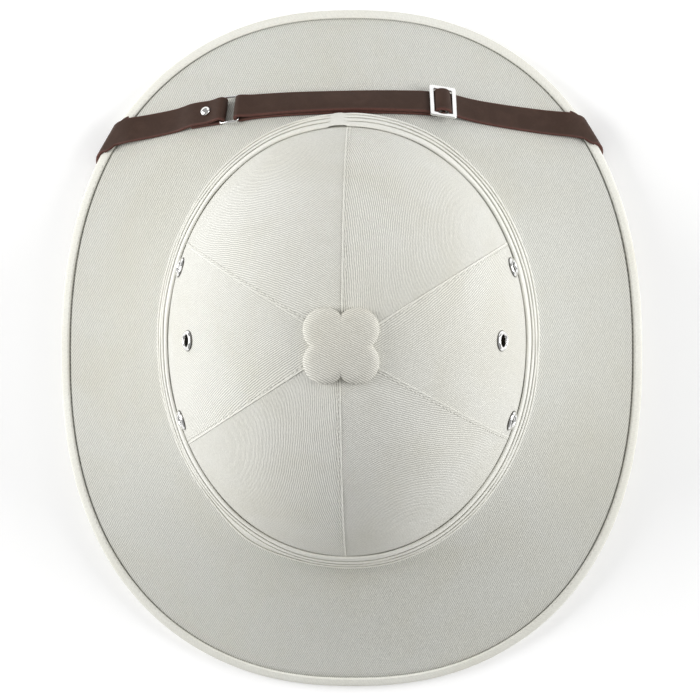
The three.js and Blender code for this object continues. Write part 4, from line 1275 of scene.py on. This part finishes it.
def left_route(line):
    length, flap = line[1][-1], line[1][-1] - 19
    over = [*OVER_LIP, (flap - 8, FIRST_LIFT), (flap + 1, SECOND_LIFT)]
    over += [(length - 9, SECOND_LIFT + 0.2)]
    return [*over, *fold_route(length), (length - 9, FIRST_LIFT), (flap, FIRST_LIFT)]


def right_route(line):
    length = line[1][-1]
    slider = line[1][np.argmax(line[0][:, 0] >= SLIDER_PLACE[0])]
    before = [*OVER_LIP, (slider - 20, FIRST_LIFT), (slider - 12, FIRST_LIFT + 0.7)]
    dome = [(slider - away, lift) for away, lift in THROUGH_SLIDER] + [(slider, 7.1)]
    dome += [(slider + away, lift) for away, lift in reversed(THROUGH_SLIDER)]
    after = [(slider + 9, SECOND_LIFT), (slider + 30, SECOND_LIFT), (length - 30, SECOND_LIFT)]
    after += [(length - 9, SECOND_LIFT + 0.4), *fold_route(length), (length - 9, FIRST_LIFT)]
    return [*before, *dome, *after, (length - 40, FIRST_LIFT), (slider + 2, FIRST_LIFT)]


left_line = make_strap("chin_strap_left", LEFT_WRAP, LEFT_PLAN, left_route, ["strap_left"])
make_strap("chin_strap_right", RIGHT_WRAP, RIGHT_PLAN, right_route, ["strap_right"])


# %% [markdown]
# ## The strap's metal
#
# The ring is a wire bent to a rounded rectangle, so a grid is carried along it with a circle as its
# section. The slider is stamped from sheet: a small grid loses the two faces of its windows, is given
# its thickness, and has its edges bevelled.

# %% The ring
RING_WIRE, RING_HALF_WIDTH, RING_HALF_LENGTH, RING_CORNER = 0.58, 7.9, 4.9, 1.6
CORNER_STEPS = 8
RING_COLUMNS = 4 * (CORNER_STEPS + 1)


def sit_on_brim(place, along_plan, lift):
    point, normal, along = brim_frame(*place, along_plan)
    return upright((point + normal * lift) * MM, normal, along)


def place_ring(u, v):
    column = np.round(u * RING_COLUMNS).astype(int)
    corner, step = (column // (CORNER_STEPS + 1)) % 4, column % (CORNER_STEPS + 1)
    turn, around = (corner + step / CORNER_STEPS) * math.pi / 2, 2 * math.pi * v
    reach = RING_CORNER + RING_WIRE * np.cos(around)
    right = np.where((corner == 0) | (corner == 3), 1, -1) * (RING_HALF_LENGTH - RING_CORNER)
    up = np.where(corner < 2, 1, -1) * (RING_HALF_WIDTH - RING_CORNER)
    x, y = right + np.cos(turn) * reach, up + np.sin(turn) * reach
    return np.stack([x, y, RING_WIRE * np.sin(around)], axis=-1) * MM


ring_bm = face_outward(close_ring(laid_grid(RING_COLUMNS, 16, place_ring)))
ring_spot = (LEFT_PLAN[-1][0] + RIGHT_PLAN[-1][0]) / 2, (LEFT_PLAN[-1][1] + RIGHT_PLAN[-1][1]) / 2
ring_matrix = sit_on_brim(ring_spot, (0.996, 0.09), FOLD_LIFT)
bmesh.ops.transform(ring_bm, matrix=ring_matrix, verts=ring_bm.verts[:])
finish_piece("wire_ring", ring_bm, NICKEL, ["strap_ring"])

# %% The slider
SLIDER_X = np.array([-6.95, -4.75, -0.8, 0.8, 4.75, 6.95])
SLIDER_Y = np.array([-9.7, -7.5, 7.5, 9.7])
SLIDER_THICKNESS, SLIDER_LIFT = 1.2, 5.1


def place_slider(u, v):
    x = SLIDER_X[np.round(u * (len(SLIDER_X) - 1)).astype(int)]
    y = SLIDER_Y[np.round(v * (len(SLIDER_Y) - 1)).astype(int)]
    return np.stack([x, y, np.full_like(x, SLIDER_THICKNESS / 2)], axis=-1) * MM


def round_off(bm, edges, offset, segments):
    bmesh.ops.bevel(
        bm,
        geom=edges,
        offset=offset * MM,
        segments=segments,
        profile=0.5,
        affect="EDGES",
        material=-1,
    )


def in_window(face):
    middle = face.calc_center_median() / MM
    return abs(middle.y) < 1 and 1 < abs(middle.x) < 4.5


def at_corner(edge):
    return all(abs(end.co.x) > 6.9 * MM and abs(end.co.y) > 9.6 * MM for end in edge.verts)


slider_bm = laid_grid(len(SLIDER_X) - 1, len(SLIDER_Y) - 1, place_slider)
windows = [face for face in slider_bm.faces if in_window(face)]
bmesh.ops.delete(slider_bm, geom=windows, context="FACES")
give_thickness(slider_bm, SLIDER_THICKNESS)
round_off(slider_bm, [edge for edge in slider_bm.edges if at_corner(edge)], 1.3, 5)
bmesh.ops.dissolve_limit(
    slider_bm, angle_limit=0.02, verts=slider_bm.verts[:], edges=slider_bm.edges[:]
)
sharp = [edge for edge in slider_bm.edges if edge.calc_face_angle(0) > 0.7]
round_off(slider_bm, sharp, 0.3, 3)
face_outward(slider_bm)
slider_matrix = sit_on_brim(SLIDER_PLACE, (0.991, -0.135), SLIDER_LIFT)
bmesh.ops.transform(slider_bm, matrix=slider_matrix, verts=slider_bm.verts[:])
finish_piece("strap_buckle", slider_bm, NICKEL, ["strap_slider"], crease=15)

# %% The rivet and the two hidden studs
RIVET_FROM_FOLD = 10.6
rivet_along = left_line[1][-1] - RIVET_FROM_FOLD
rivet_x, rivet_y, _ = read_at(left_line, rivet_along)
rivet_matrix = sit_on_brim((rivet_x, rivet_y), read_at(left_line, rivet_along, 2), 0.0)
head = SECOND_LIFT + STRAP_THICKNESS / 2 + 0.4
RIVET_PROFILE = [(0, 0.45), (1.2, 0.45), (1.2, head), (2.55, head + 0.02), (2.68, head + 0.3)]
RIVET_PROFILE += [(2.55, head + 0.7), (2.1, head + 1.15), (1.4, head + 1.48)]
RIVET_PROFILE += [(0.7, head + 1.62), (0, head + 1.66)]
turned("domed_rivet", RIVET_PROFILE, rivet_matrix, ["strap_rivet"], steps=32)

foot = FIRST_LIFT + STRAP_THICKNESS / 2 + 1.6
STUD_PROFILE = [(0, -2.2), (2, -2.2), (2, foot), (4.3, foot), (4.5, foot + 0.3)]
STUD_PROFILE += [(4.4, foot + 0.7), (3.4, foot + 1.35), (1.8, foot + 1.65), (0, foot + 1.7)]
for side, azimuth in (("left", LEFT_WRAP[0] - STUD_TURN), ("right", RIGHT_WRAP[0] + STUD_TURN)):
    where, down = np.array(azimuth), np.array(STUD_DEPTH)
    inward = -surface_normal(where, down)
    spot = (surface(where, down) - inward * inner_distance(STUD_DEPTH)) * MM
    stud_matrix = upright(spot, inward, heading(where + 90))
    turned("ear_stud_" + side, STUD_PROFILE, stud_matrix, ["strap_stud_" + side], steps=32)

# %% [markdown]
# ## Camera, light and floor
#
# The camera looks straight down from a good height, with the front of the helmet towards the top of
# the picture. Two large soft lights stand beside the helmet, a weaker one stands before it, so that
# the strap's metal has something bright to mirror, and the pale surroundings fill in the shade. The
# helmet rests on a plain pale floor.

# %% Camera
camera_data = bpy.data.cameras.new("camera")
camera_data.lens, camera_data.sensor_width = 118.0, 36.0
camera = bpy.data.objects.new("camera", camera_data)
bpy.context.scene.collection.objects.link(camera)
bpy.context.scene.camera = camera
eye, aim = Vector((-0.036, -0.029, 1.2)), Vector((0.00063, 0.00037, 0.003))
print("camera:", round((eye - aim).length, 3), "m from the helmet's middle")
back = (eye - aim).normalized()
right = Vector((0, -1, 0)).cross(back).normalized()
turned_view = Matrix((right, back.cross(right), back)).transposed().to_4x4()
camera.matrix_world = Matrix.Translation(eye) @ turned_view

# %% The floor
FLOOR_HALF_WIDTH, FLOOR_GLOW = 3.0, 0.16
floor_bm = bmesh.new()
bmesh.ops.create_grid(floor_bm, x_segments=1, y_segments=1, size=FLOOR_HALF_WIDTH)
floor_mesh = bpy.data.meshes.new("floor")
floor_bm.to_mesh(floor_mesh)
floor_bm.free()
floor = bpy.data.objects.new("floor", floor_mesh)
bpy.context.scene.collection.objects.link(floor)
floor_material, _, floor_shader, _ = new_material("pale_floor")
floor_shader.inputs["Base Color"].default_value = (0.93, 0.93, 0.93, 1)
floor_shader.inputs["Roughness"].default_value = 0.9
floor_shader.inputs["Emission Color"].default_value = (1, 1, 1, 1)
floor_shader.inputs["Emission Strength"].default_value = FLOOR_GLOW
floor_mesh.materials.append(floor_material)
print("floor:", 2 * FLOOR_HALF_WIDTH, "m wide")


# %% The lights
LIGHTS_AIM, SURROUNDINGS = Vector((0, 0, 0.05)), 0.34


def soft_light(name, place, size, power):
    light = bpy.data.lights.new(name, "AREA")
    light.shape, light.size, light.energy = "DISK", size, power
    lamp = bpy.data.objects.new(name, light)
    bpy.context.scene.collection.objects.link(lamp)
    turn = (Vector(place) - LIGHTS_AIM).to_track_quat("Z", "Y").to_matrix().to_4x4()
    lamp.matrix_world = Matrix.Translation(Vector(place)) @ turn
    return lamp


left_light = soft_light("left_light", (1.27, -0.16, 0.66), 1.0, 17.2)
right_light = soft_light("right_light", (-1.27, -0.16, 0.66), 1.0, 14.8)
front_light = soft_light("front_light", (-0.3, -1.27, 0.36), 1.1, 2.2)

world = bpy.data.worlds.new("studio")
bpy.context.scene.world = world
world.use_nodes = True
surroundings = world.node_tree.nodes["Background"]
surroundings.inputs["Color"].default_value = (1, 1, 1, 1)
surroundings.inputs["Strength"].default_value = SURROUNDINGS
bpy.context.scene.view_settings.view_transform = "Standard"
print("lights:", [lamp.name for lamp in (left_light, right_light, front_light)])
